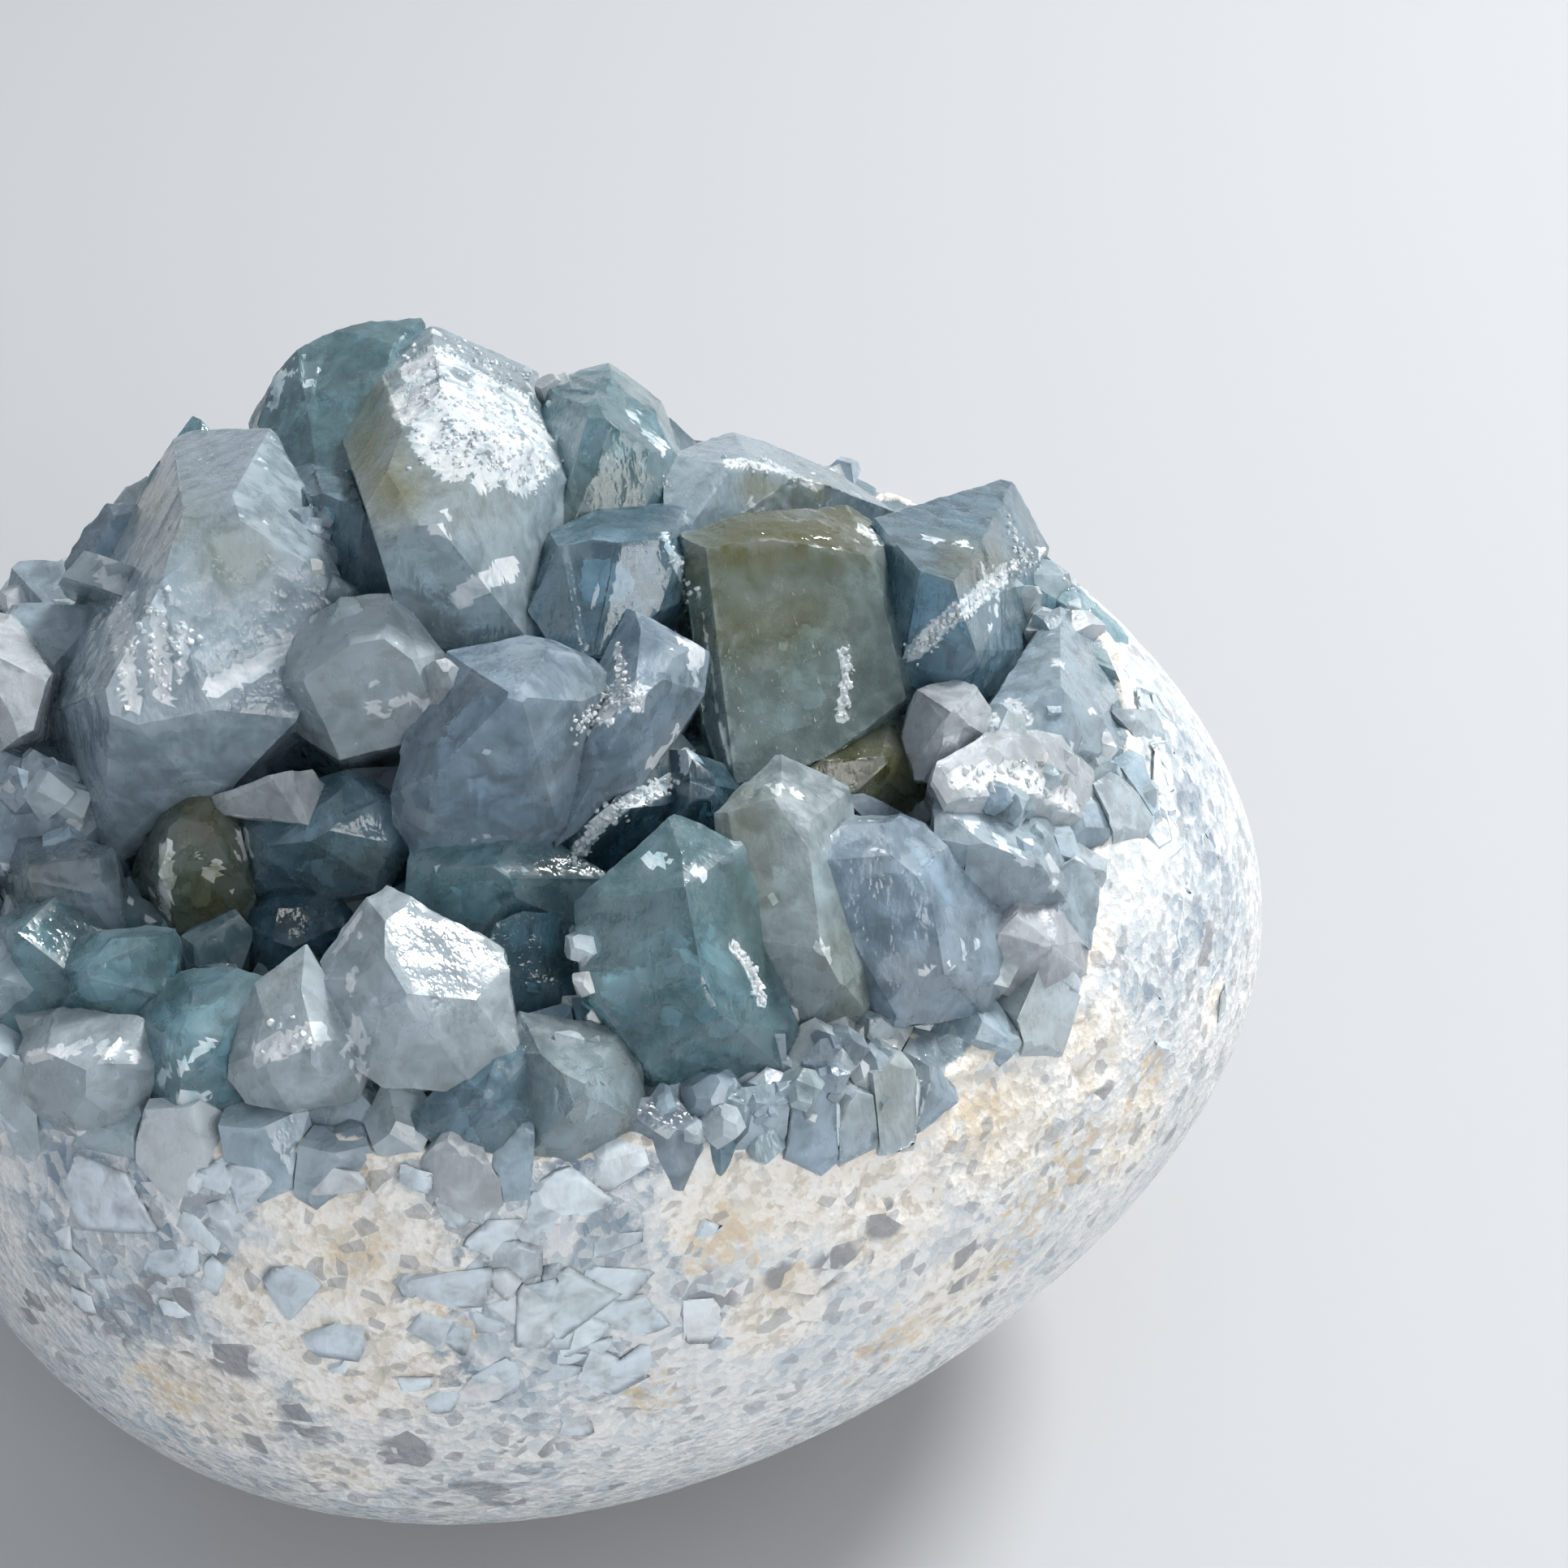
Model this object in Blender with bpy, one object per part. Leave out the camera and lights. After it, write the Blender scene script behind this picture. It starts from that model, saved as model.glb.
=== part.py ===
"""Celestite egg: a stone egg ground smooth all round, with an opening on top where blocky blue-grey crystals
stand on the bed of rock, and a small flat spot ground under it to rest on.

Metres, +Z up, +X towards the narrow end. The origin is the middle of the flat spot.
Lengths below are in millimetres and angles in degrees; objects are made in metres.
"""

import math
from itertools import combinations

import bmesh
import bpy
import numpy as np

MM = 0.001

# The egg
EGG_HALF = 50.0  # half its length
EGG_RADIUS = 40.0  # its radius half way along
EGG_TAPER = 0.203  # how much thinner it is towards the narrow end
EGG_DIP = 8.0  # the narrow end hangs a little lower
CENTRE = np.array([6.9, 0.0, 38.43])  # its middle, above the flat spot
SEGMENTS, BED_RINGS, BODY_RINGS = 48, 12, 22

# The opening: height of its rim over the egg's middle, every 30 degrees round from +X
RIM_HEIGHTS = [22.0, 20.0, 17.0, 18.0, 16.0, 17.0, 15.0, 14.5, 18.0, 16.5, 13.5, 19.5]
BED_FLOOR = 20.0  # middle of the bed, over the egg's middle
# Mounds on the bed and one hollow: where they are from the egg's middle, their height and their spread
MOUNDS = [(-6.0, 2.0, 4.5, 10.0), (-15.0, 14.0, 7.0, 5.0), (-30.0, 9.0, 3.0, 5.0), (-17.0, -10.0, 1.5, 5.0), (-20.0, -20.0, -3.0, 6.0)]
BED_GAP = 0.45  # between a crystal's foot and the bed
GAP = 0.3  # between two crystals that meet
FAN = 45.0  # the crystals fan out from a point this far under the egg's middle
UNDERCUT = 0.85  # how far a front face leans back under its crystal

# The measuring view: crystal outlines are read in its square picture plane
VIEW_TURN, VIEW_RISE, VIEW_AWAY, VIEW_FIELD = -12.4, 42.0, 173.7, 36.0
VIEW_SIDE, VIEW_U, VIEW_V = 1932.0, 736.0, 1144.0

# Crystals seen from the front. Each has an outline in the measuring view, how far out its top and its bottom
# reach (1 is the egg's own surface), and its peaks, which stand out further.
# name, kind, (top, bottom), outline, peaks
FRONT = [
    ("round_front", "pale", (0.95, 0.97), [(398, 1222), (404, 1182), (476, 1108), (522, 1122), (574, 1162), (604, 1184), (627, 1232), (622, 1287), (580, 1328), (480, 1322), (418, 1275)], [(480, 1165, 1.0), (560, 1210, 1.0), (500, 1255, 1.0)]),
    ("rhomb_left", "pale", (0.90, 0.82), [(352, 868), (373, 797), (425, 750), (475, 742), (515, 800), (560, 850), (545, 888), (422, 918), (378, 890)], [(440, 800, 0.93), (500, 850, 0.93), (400, 860, 0.93)]),
    ("centre_twin", "lilac", (0.90, 0.78), [(487, 985), (500, 962), (530, 920), (556, 862), (566, 820), (600, 790), (650, 790), (690, 792), (722, 820), (742, 850), (712, 950), (700, 1008), (650, 1034), (580, 1041), (520, 1040), (495, 1008)], [(620, 830, 0.93), (700, 850, 0.92), (560, 925, 0.90), (600, 1000, 0.89), (680, 960, 0.88)]),
    ("olive_block", "olive", (0.93, 0.80), [(852, 668), (905, 645), (1010, 628), (1050, 642), (1095, 678), (1100, 780), (1112, 862), (1088, 892), (1000, 932), (905, 955), (888, 900), (872, 760)], [(905, 690, 0.96), (1062, 690, 0.97), (1040, 860, 0.95), (905, 900, 0.93)]),
    ("giant_left", "milky", (0.93, 0.80), [(277, 529), (330, 548), (372, 610), (412, 733), (372, 800), (350, 880), (258, 975), (142, 1046), (50, 892), (105, 790), (160, 665), (225, 550)], [(150, 860, 0.97), (345, 840, 0.95), (290, 620, 0.97), (215, 700, 0.97)]),
    ("crown_top", "crust", (0.95, 0.80), [(440, 505), (472, 452), (532, 418), (600, 432), (650, 472), (685, 540), (696, 610), (668, 700), (645, 788), (600, 793), (520, 798), (502, 720), (478, 625), (440, 545)], [(500, 520, 0.97), (640, 560, 0.97), (570, 700, 0.95), (500, 740, 0.94)]),
    ("wedge_centre", "teal", (0.92, 0.93), [(728, 1120), (790, 1050), (835, 1025), (870, 1027), (897, 1055), (905, 1160), (962, 1270), (955, 1310), (870, 1322), (780, 1322), (735, 1245), (728, 1185)], [(840, 1090, 0.98), (830, 1210, 0.98), (900, 1260, 0.98)]),
    ("roof_back", "deep", (0.96, 0.86), [(1090, 655), (1105, 638), (1235, 610), (1258, 625), (1276, 680), (1270, 740), (1255, 800), (1205, 850), (1150, 855), (1120, 822), (1112, 750)], [(1120, 690, 0.98), (1225, 665, 0.99), (1190, 800, 0.97)]),
    ("lilac_slab", "lilac", (0.88, 0.80), [(785, 768), (858, 798), (852, 850), (822, 905), (775, 960), (722, 998), (702, 1010), (702, 950), (720, 890), (750, 850), (766, 800)], [(815, 820, 0.93), (760, 900, 0.92)]),
    ("striated_blue", "deep", (0.88, 0.84), [(672, 715), (688, 670), (740, 648), (838, 638), (858, 690), (832, 740), (786, 790), (700, 795), (680, 785), (668, 750)], [(700, 690, 0.92), (820, 670, 0.92), (770, 760, 0.91)]),
    ("round_back", "teal", (0.94, 0.86), [(660, 478), (700, 470), (745, 462), (775, 472), (803, 505), (820, 550), (828, 575), (805, 615), (770, 642), (700, 645), (694, 600), (680, 540)], [(730, 510, 0.97), (790, 540, 0.97), (740, 600, 0.96)]),
    ("pale_right", "lilac", (0.93, 0.95), [(1020, 1065), (1045, 1010), (1075, 1003), (1110, 1018), (1165, 1042), (1202, 1075), (1226, 1130), (1230, 1200), (1200, 1242), (1090, 1250), (1066, 1165), (1030, 1110)], [(1090, 1060, 0.98), (1150, 1120, 0.99), (1160, 1200, 0.99)]),
    ("grey_green", "olive_pale", (0.88, 0.90), [(915, 975), (960, 951), (1000, 958), (1030, 985), (1022, 1040), (1030, 1110), (1066, 1168), (1063, 1250), (985, 1256), (942, 1225), (906, 1160), (895, 1080), (897, 1010)], [(960, 1010, 0.95), (975, 1150, 0.96), (1030, 1210, 0.96)]),
    ("upright_block", "pale_teal", (0.93, 0.96), [(632, 1300), (650, 1268), (690, 1276), (752, 1283), (772, 1312), (778, 1380), (760, 1402), (700, 1430), (652, 1422), (642, 1360)], [(665, 1300, 0.98), (740, 1320, 0.99), (700, 1400, 0.99)]),
    ("split_front", "pale", (0.95, 0.97), [(9, 1320), (25, 1293), (80, 1258), (165, 1270), (179, 1310), (176, 1350), (160, 1382), (110, 1412), (60, 1392), (20, 1352)], [(60, 1310, 1.0), (130, 1310, 1.0), (100, 1370, 1.0)]),
    ("sparkle_front", "teal", (0.91, 0.94), [(186, 1300), (182, 1250), (225, 1215), (290, 1210), (330, 1226), (312, 1270), (292, 1310), (300, 1350), (272, 1382), (204, 1382)], [(230, 1250, 0.96), (270, 1290, 0.97), (230, 1350, 0.98)]),
    ("milky_front", "pale", (0.95, 0.97), [(292, 1312), (304, 1270), (330, 1226), (374, 1192), (392, 1222), (408, 1275), (440, 1312), (430, 1338), (360, 1352), (314, 1342)], [(340, 1260, 0.99), (400, 1300, 1.0), (340, 1320, 1.0)]),
    ("blue_slab", "deep", (0.97, 0.97), [(518, 1392), (575, 1332), (615, 1306), (640, 1310), (648, 1400), (625, 1410), (572, 1408)], [(600, 1350, 1.0)]),
    ("back_left_pale", "pale", (0.94, 0.90), [(42, 705), (60, 655), (78, 628), (120, 620), (148, 642), (150, 658), (128, 692), (104, 716), (84, 718)], [(90, 660, 0.97), (110, 690, 0.97)]),
    ("left_white", "white", (0.94, 0.92), [(-60, 800), (-14, 768), (10, 772), (42, 834), (42, 852), (28, 890), (0, 912), (-60, 920)], [(0, 810, 0.97), (10, 870, 0.97)]),
    ("top_blue", "teal", (0.96, 0.87), [(324, 525), (332, 508), (345, 478), (364, 442), (372, 434), (440, 424), (505, 412), (455, 460), (436, 496), (441, 560), (400, 588), (362, 577), (326, 550)], [(380, 470, 0.97), (380, 530, 0.95)]),
    ("small_dark_top", "deep", (0.87, 0.82), [(374, 588), (385, 578), (430, 590), (462, 608), (478, 650), (480, 735), (440, 740), (408, 700), (384, 640)], [(400, 620, 0.90), (450, 650, 0.90), (430, 710, 0.89)]),
    ("back_small", "white", (0.96, 0.94), [(634, 455), (655, 437), (695, 437), (732, 460), (700, 476), (640, 480)], [(680, 452, 0.97)]),
    ("back_right_far", "milky", (0.91, 0.88), [(832, 578), (870, 560), (904, 551), (950, 565), (1015, 592), (1088, 638), (1060, 638), (1005, 620), (900, 638), (850, 652), (834, 620)], [(905, 590, 0.94), (1000, 620, 0.93)]),
    ("sugar_right", "white", (0.92, 0.88), [(1130, 905), (1140, 870), (1200, 858), (1216, 882), (1210, 918), (1166, 952), (1140, 946)], [(1170, 890, 0.96)]),
    ("grey_right", "milky", (0.95, 0.93), [(1216, 905), (1250, 850), (1300, 770), (1330, 780), (1376, 860), (1392, 935), (1340, 952), (1260, 950)], [(1300, 850, 0.99), (1340, 910, 0.99)]),
    ("lilac_right", "milky", (0.95, 0.95), [(1167, 1000), (1200, 984), (1260, 992), (1290, 1040), (1320, 1090), (1322, 1132), (1240, 1112), (1202, 1075), (1167, 1042)], [(1220, 1030, 0.99), (1280, 1080, 1.0)]),
    ("plate_right", "white", (0.97, 0.95), [(1160, 985), (1168, 955), (1220, 925), (1290, 920), (1330, 965), (1330, 1010), (1262, 992), (1200, 984)], [(1240, 955, 1.0)]),
    ("rose_right", "rose", (0.97, 0.97), [(1244, 1132), (1300, 1124), (1326, 1160), (1320, 1192), (1272, 1226), (1248, 1212), (1240, 1170)], [(1285, 1165, 1.0)]),
    ("navy_blade", "navy", (0.80, 0.74), [(822, 903), (840, 925), (838, 978), (800, 1012), (735, 1062), (700, 1075), (697, 1030), (720, 1000), (770, 960)], [(800, 950, 0.82), (740, 1020, 0.81)]),
    ("navy_corner", "navy", (0.80, 0.76), [(842, 925), (880, 945), (912, 982), (905, 1012), (880, 1026), (830, 1022), (834, 975)], [(865, 970, 0.84)]),
    ("olive_left", "amber", (0.80, 0.76), [(205, 1002), (250, 975), (272, 990), (286, 1060), (298, 1105), (280, 1148), (230, 1150), (196, 1126), (180, 1080), (186, 1040)], [(225, 1030, 0.84), (250, 1110, 0.85)]),
    ("left_dark_block", "smoky", (0.87, 0.85), [(-5, 1070), (30, 1036), (70, 1045), (128, 1062), (140, 1150), (126, 1172), (70, 1187), (35, 1150)], [(50, 1080, 0.92), (100, 1140, 0.92)]),
    ("left_teal_block", "teal", (0.91, 0.91), [(48, 1212), (110, 1172), (165, 1150), (200, 1160), (204, 1220), (180, 1246), (150, 1262), (64, 1260)], [(120, 1200, 0.95)]),
    ("left_edge_pale", "milky", (0.94, 0.95), [(-70, 1170), (-10, 1146), (42, 1166), (46, 1220), (20, 1275), (-50, 1300)], [(0, 1200, 0.98)]),
    ("valley_teal", "navy", (0.72, 0.70), [(304, 1128), (350, 1096), (400, 1110), (432, 1144), (395, 1205), (330, 1222), (308, 1190)], [(350, 1140, 0.78)]),
    ("valley_deep", "deep", (0.76, 0.72), [(305, 1012), (365, 985), (440, 965), (482, 985), (492, 1040), (470, 1080), (400, 1094), (350, 1080), (312, 1098)], [(400, 1020, 0.79), (340, 1050, 0.78)]),
    ("valley_mass", "teal", (0.78, 0.76), [(500, 1062), (560, 1042), (640, 1036), (722, 1086), (702, 1130), (642, 1150), (580, 1160), (520, 1110)], [(600, 1085, 0.82)]),
    ("dark_wall", "navy", (0.86, 0.84), [(606, 1172), (650, 1150), (692, 1150), (712, 1200), (692, 1252), (650, 1262), (627, 1232)], []),
]

# Crystals round the back and the far end: blocky prisms with a roof of four slopes on top.
# name, kind, turn round the vertical, tilt from it, reach, half width, half depth, twist, slopes
REAR = [
    ("rear_wide", "milky", 66, 44, 0.94, 7.5, 5.5, 25, (50, 40, 65, 25)),
    ("rear_tall", "teal", 92, 48, 0.95, 6.5, 6.0, -10, (45, 60, 35, 50)),
    ("rear_roof", "lilac", 117, 48, 0.94, 7.5, 5.0, 40, (62, 30, 48, 48)),
    ("rear_left", "pale", 140, 52, 0.95, 6.5, 5.5, 10, (40, 55, 60, 30)),
    ("rear_edge_left", "milky", 163, 56, 0.96, 6.0, 5.0, -30, (50, 50, 35, 60)),
    ("rear_edge_right", "white", 40, 50, 0.96, 6.0, 5.0, 35, (35, 60, 50, 50)),
    ("rear_corner", "deep", 18, 47, 0.95, 5.5, 4.5, 10, (50, 45, 40, 55)),
    ("rear_low", "teal", 79, 57, 0.98, 4.6, 3.4, 15, (60, 35, 40, 55)),
    ("rear_low_left", "deep", 105, 57, 0.98, 4.4, 3.4, -20, (40, 60, 50, 40)),
    ("rear_low_end", "pale", 55, 56, 0.98, 4.6, 3.4, 50, (55, 40, 60, 35)),
    ("rear_high", "milky", 80, 29, 0.86, 6.0, 5.0, 15, (55, 35, 50, 45)),
    ("rear_high_left", "lilac", 122, 33, 0.86, 6.0, 5.0, -25, (40, 60, 45, 50)),
    ("rear_high_right", "pale", 42, 30, 0.84, 5.5, 4.5, 40, (50, 50, 60, 35)),
    ("rear_rim_left", "pale", 129, 59, 0.98, 4.6, 3.8, 30, (45, 60, 40, 50)),
    ("rear_rim_end", "milky", 150, 62, 0.98, 4.4, 3.6, -15, (60, 40, 50, 45)),
    ("end_left", "lilac", 184, 58, 0.95, 6.0, 5.0, 20, (45, 45, 60, 30)),
    ("end_left_front", "teal", 205, 62, 0.97, 5.0, 4.2, 60, (60, 40, 35, 50)),
]

# base colour, roughness
KINDS = {
    "pale": ((0.56, 0.66, 0.74), 0.18),
    "lilac": ((0.40, 0.48, 0.62), 0.20),
    "deep": ((0.20, 0.32, 0.46), 0.14),
    "olive": ((0.27, 0.34, 0.27), 0.16),
    "milky": ((0.44, 0.54, 0.62), 0.28),
    "crust": ((0.70, 0.74, 0.72), 0.45),
    "teal": ((0.24, 0.42, 0.50), 0.16),
    "olive_pale": ((0.46, 0.52, 0.48), 0.24),
    "pale_teal": ((0.46, 0.58, 0.64), 0.22),
    "smoky": ((0.28, 0.33, 0.38), 0.18),
    "white": ((0.76, 0.80, 0.82), 0.35),
    "rose": ((0.68, 0.64, 0.66), 0.35),
    "navy": ((0.08, 0.18, 0.28), 0.12),
    "amber": ((0.22, 0.22, 0.12), 0.18),
    "rock": ((0.68, 0.65, 0.58), 0.42),
}

dip = math.radians(EGG_DIP)
fan_point = CENTRE - np.array([0, 0, FAN])


def shell(p):
    """1 on the egg's surface and less inside it, as a share of the egg's size."""
    q = np.asarray(p) - CENTRE
    x = (q[..., 0] * math.cos(dip) - q[..., 2] * math.sin(dip)) / EGG_HALF
    z = q[..., 0] * math.sin(dip) + q[..., 2] * math.cos(dip)
    thin = EGG_RADIUS * (1 - EGG_TAPER * np.clip(x, -1.4, 1.4))
    return np.sqrt(x * x + (q[..., 1] ** 2 + z * z) / thin**2)


def out_to_shell(direction, level):
    """The point of that reach, from the egg's middle."""
    low, high = 0.0, 80.0
    for _ in range(40):
        mid = (low + high) / 2
        if shell(CENTRE + direction * mid) < level:
            low = mid
        else:
            high = mid
    return CENTRE + direction * low


def rim_height(turn):
    t = (turn / math.radians(30)) % 12
    i, f = int(t), t - int(t)
    f = f * f * (3 - 2 * f)
    return RIM_HEIGHTS[i % 12] * (1 - f) + RIM_HEIGHTS[(i + 1) % 12] * f


def rim_reach(turn):
    """How far the rim stands from the upright line through the egg's middle."""
    low, high = 0.0, 60.0
    for _ in range(40):
        mid = (low + high) / 2
        p = CENTRE + np.array([mid * math.cos(turn), mid * math.sin(turn), rim_height(turn)])
        if shell(p) < 1:
            low = mid
        else:
            high = mid
    return low


TURNS = np.arange(73) * 5.0
REACHES = np.array([rim_reach(math.radians(t)) for t in TURNS])
RISES = np.array([rim_height(math.radians(t)) for t in TURNS])


def bed(x, y):
    """Height of the bed that the crystals stand on: almost level, out to the rim."""
    dx, dy = x - CENTRE[0], y - CENTRE[1]
    turn = np.degrees(np.arctan2(dy, dx)) % 360
    share = np.clip(np.hypot(dx, dy) / np.interp(turn, TURNS, REACHES), 0, 1.3)
    mounds = sum(h * np.exp(-((dx - x0) ** 2 + (dy - y0) ** 2) / wide**2 / 2) for x0, y0, h, wide in MOUNDS)
    return CENTRE[2] + BED_FLOOR + mounds + (np.interp(turn, TURNS, RISES) - BED_FLOOR) * share**2


def bed_normal(x, y):
    e = 1.0
    n = np.array([bed(x - e, y) - bed(x + e, y), bed(x, y - e) - bed(x, y + e), 2 * e])
    return n / np.linalg.norm(n)


class View:
    """A square picture plane with perspective, looking at the egg's middle."""

    def __init__(self, turn, rise):
        a, e = math.radians(turn), math.radians(rise)
        self.back = np.array([math.sin(a) * math.cos(e), -math.cos(a) * math.cos(e), math.sin(e)])
        self.right = np.cross(-self.back, [0, 0, 1.0])
        self.right /= np.linalg.norm(self.right)
        self.up = np.cross(self.right, -self.back)
        self.eye = CENTRE + self.back * VIEW_AWAY
        self.focal = VIEW_SIDE / 2 / math.tan(math.radians(VIEW_FIELD / 2))

    def ray(self, u, v):
        d = -self.back * self.focal + self.right * (u - VIEW_U) - self.up * (v - VIEW_V)
        return d / np.linalg.norm(d)

    def spot(self, u, v, level):
        """Where the line of sight through (u, v) first meets the shell of that reach, or comes nearest to it."""
        d = self.ray(u, v)
        low, high = VIEW_AWAY - 90, VIEW_AWAY + 90
        for _ in range(60):
            a, b = low + (high - low) / 3, high - (high - low) / 3
            if shell(self.eye + d * a) < shell(self.eye + d * b):
                high = b
            else:
                low = a
        mid = (low + high) / 2
        if shell(self.eye + d * mid) >= level:
            return self.eye + d * mid
        low, high = VIEW_AWAY - 90, mid
        for _ in range(50):
            m = (low + high) / 2
            if shell(self.eye + d * m) > level:
                low = m
            else:
                high = m
        return self.eye + d * high

    def picture(self, p):
        q = p - self.eye
        depth = q @ -self.back
        return np.array([VIEW_U + self.focal * (q @ self.right) / depth, VIEW_V - self.focal * (q @ self.up) / depth])


view = View(VIEW_TURN, VIEW_RISE)


def corners(planes):
    """Corners of the space inside all the planes. Each plane is a normal and how far along it the space ends."""
    n, d = planes[:, :3], planes[:, 3]
    trio = np.array(list(combinations(range(len(planes)), 3)))
    a = n[trio]
    meet = np.abs(np.linalg.det(a)) > 1e-4
    p = np.linalg.solve(a[meet], d[trio][meet][..., None])[..., 0]
    found = []
    for q in p[(p @ n.T - d <= 1e-6).all(axis=1)]:
        if all(np.linalg.norm(q - k) > 0.05 for k in found):
            found.append(q)
    return np.array(found).reshape(-1, 3)


def body(c):
    if c.get("counted") != len(c["planes"]):
        c["corners"], c["counted"] = corners(c["planes"]), len(c["planes"])
    return c["corners"]


def plane_through(a, b, c, inside):
    n = np.cross(b - a, c - a)
    n /= np.linalg.norm(n)
    if n @ (inside - a) > 0:
        n = -n
    return np.append(n, n @ a)


def enclose(planes, heart, w, points):
    """Six planes along the crystal and one over its tip, which it never grows past."""
    reach = max(np.linalg.norm(np.cross(q - heart, w)) for q in points) * 1.12 + 0.3
    e1 = np.cross(w, [1.0, 0, 0])
    e1 /= np.linalg.norm(e1)
    e2 = np.cross(w, e1)
    for k in range(6):
        n = e1 * math.cos(k * math.pi / 3) + e2 * math.sin(k * math.pi / 3)
        planes.append(np.append(n, n @ heart + reach))
    planes.append(np.append(w, w @ heart + max((q - heart) @ w for q in points) + 4.0))


def foot_of(heart, w):
    s = heart.copy()
    while s[2] > bed(s[0], s[1]):
        s = s - w * 0.2
    n = bed_normal(s[0], s[1])
    return s, np.append(-n, -n @ (s + n * BED_GAP))


def seen_crystal(outline, reach, peaks):
    """A crystal from its outline in the measuring view: a side face down from each edge, and a roof face up from it."""
    top, bottom = min(o[1] for o in outline), max(o[1] for o in outline)
    rims = [view.spot(u, v, reach[0] + (reach[1] - reach[0]) * (v - top) / (bottom - top)) for u, v in outline]
    tips = [view.spot(*p) for p in peaks]
    mid = np.mean(rims + tips, axis=0)
    w = mid - fan_point
    w /= np.linalg.norm(w)
    heart = mid - w * 3.0
    planes = []
    for i, a in enumerate(rims):
        b = rims[(i + 1) % len(rims)]
        m = (a + b) / 2
        side = plane_through(a, b, m - w * 10, heart)
        if side[:3] @ view.back > 0:
            g = view.ray(*view.picture(m)) * UNDERCUT - w * (1 - UNDERCUT)
            side = plane_through(a, b, m + g * 10, heart)
        planes.append(side)
        if tips:
            roofs = [plane_through(a, b, t, heart - w * 20) for t in tips]
            planes.append(min(roofs, key=lambda f: round(max(f[:3] @ q - f[3] for q in tips + rims), 1)))
    if not tips:
        c = np.mean(rims, axis=0)
        n = np.linalg.svd(np.array(rims) - c)[2][2]
        n = n if n @ w > 0 else -n
        planes.append(np.append(n, n @ c + 0.3 * max((np.array(rims) - c) @ n)))
    root, foot = foot_of(heart, w)
    own = len(planes)
    planes.append(foot)
    enclose(planes, heart, w, rims)
    u, v = np.array(outline, float).T
    area = abs(np.sum(u * np.roll(v, -1) - v * np.roll(u, -1))) / 2
    return dict(planes=np.array(planes), shown=np.array(rims + tips), flat=np.array([view.picture(q) for q in rims + tips]), w=w, heart=heart, root=root, foot=own, rank=2.0 + area / 15000)


def block(turn, tilt, level, wide, deep, twist, slopes):
    """A blocky prism with cut corners and a roof of four slopes, its tip at this turn and tilt from the vertical."""
    a, t = math.radians(turn), math.radians(tilt)
    tip = out_to_shell(np.array([math.sin(t) * math.cos(a), math.sin(t) * math.sin(a), math.cos(t)]), level)
    w = tip - fan_point
    w /= np.linalg.norm(w)
    e1 = np.cross([0, 0, 1.0], w)
    e1 /= np.linalg.norm(e1)
    e2 = np.cross(w, e1)
    c, s = math.cos(math.radians(twist)), math.sin(math.radians(twist))
    e1, e2 = e1 * c + e2 * s, e2 * c - e1 * s
    planes = [np.append(n, n @ tip + r) for n, r in ((e1, wide), (-e1, wide), (e2, deep), (-e2, deep))]
    for n in (e1 + e2, e1 - e2, -e1 + e2, -e1 - e2):
        n = n / np.linalg.norm(n)
        planes.append(np.append(n, n @ tip + (wide + deep) * 0.61))
    for n, slope in zip((e1, -e1, e2, -e2), slopes):
        n = w * math.cos(math.radians(slope)) + n * math.sin(math.radians(slope))
        planes.append(np.append(n, n @ tip))
    root, foot = foot_of(tip - w * 2, w)
    own = len(planes)
    planes.append(foot)
    enclose(planes, tip - w * 5, w, [tip + e1 * wide, tip - e1 * wide, tip + e2 * deep])
    return dict(planes=np.array(planes), shown=np.array([tip]), w=w, heart=tip - w * 5, root=root, foot=own, rank=1.0)


def stand_clear(c):
    """Raises the crystal's foot until no part of it is under the bed."""
    for _ in range(40):
        p = corners(c["planes"])
        if len(p) < 4:
            break
        low = np.array(list(p) + [(a + b) / 2 for a, b in combinations(p, 2)])
        deep = (bed(low[:, 0], low[:, 1]) + BED_GAP - low[:, 2])[shell(low) < 1.01]
        if not len(deep) or deep.max() <= 0:
            break
        c["planes"][c["foot"], 3] -= max(deep.max(), 0.05)


def apart(i, j):
    a, b = body(i), body(j)
    if len(a) < 4 or len(b) < 4 or (np.maximum(a.min(0), b.min(0)) - GAP > np.minimum(a.max(0), b.max(0))).any():
        return True
    return any((a @ f[:3] - f[3]).min() >= GAP - 1e-3 for f in j["planes"]) or any((b @ f[:3] - f[3]).min() >= GAP - 1e-3 for f in i["planes"])


def line_between(p, q):
    """The line in the picture plane that keeps two outlines apart best: which way it faces, and a point on it."""
    best = None
    for one, two, side in ((p, q, 1), (q, p, -1)):
        for a in one:
            for b in one:
                size = np.linalg.norm(b - a)
                if size < 1:
                    continue
                n = np.array([b[1] - a[1], a[0] - b[0]]) / size
                near, far = ((one - a) @ n).max(), ((two - a) @ n).min()
                if best is None or far - near > best[0]:
                    best = (far - near, n * side, a + n * (near + far) / 2)
    return best[1], best[2]


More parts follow.
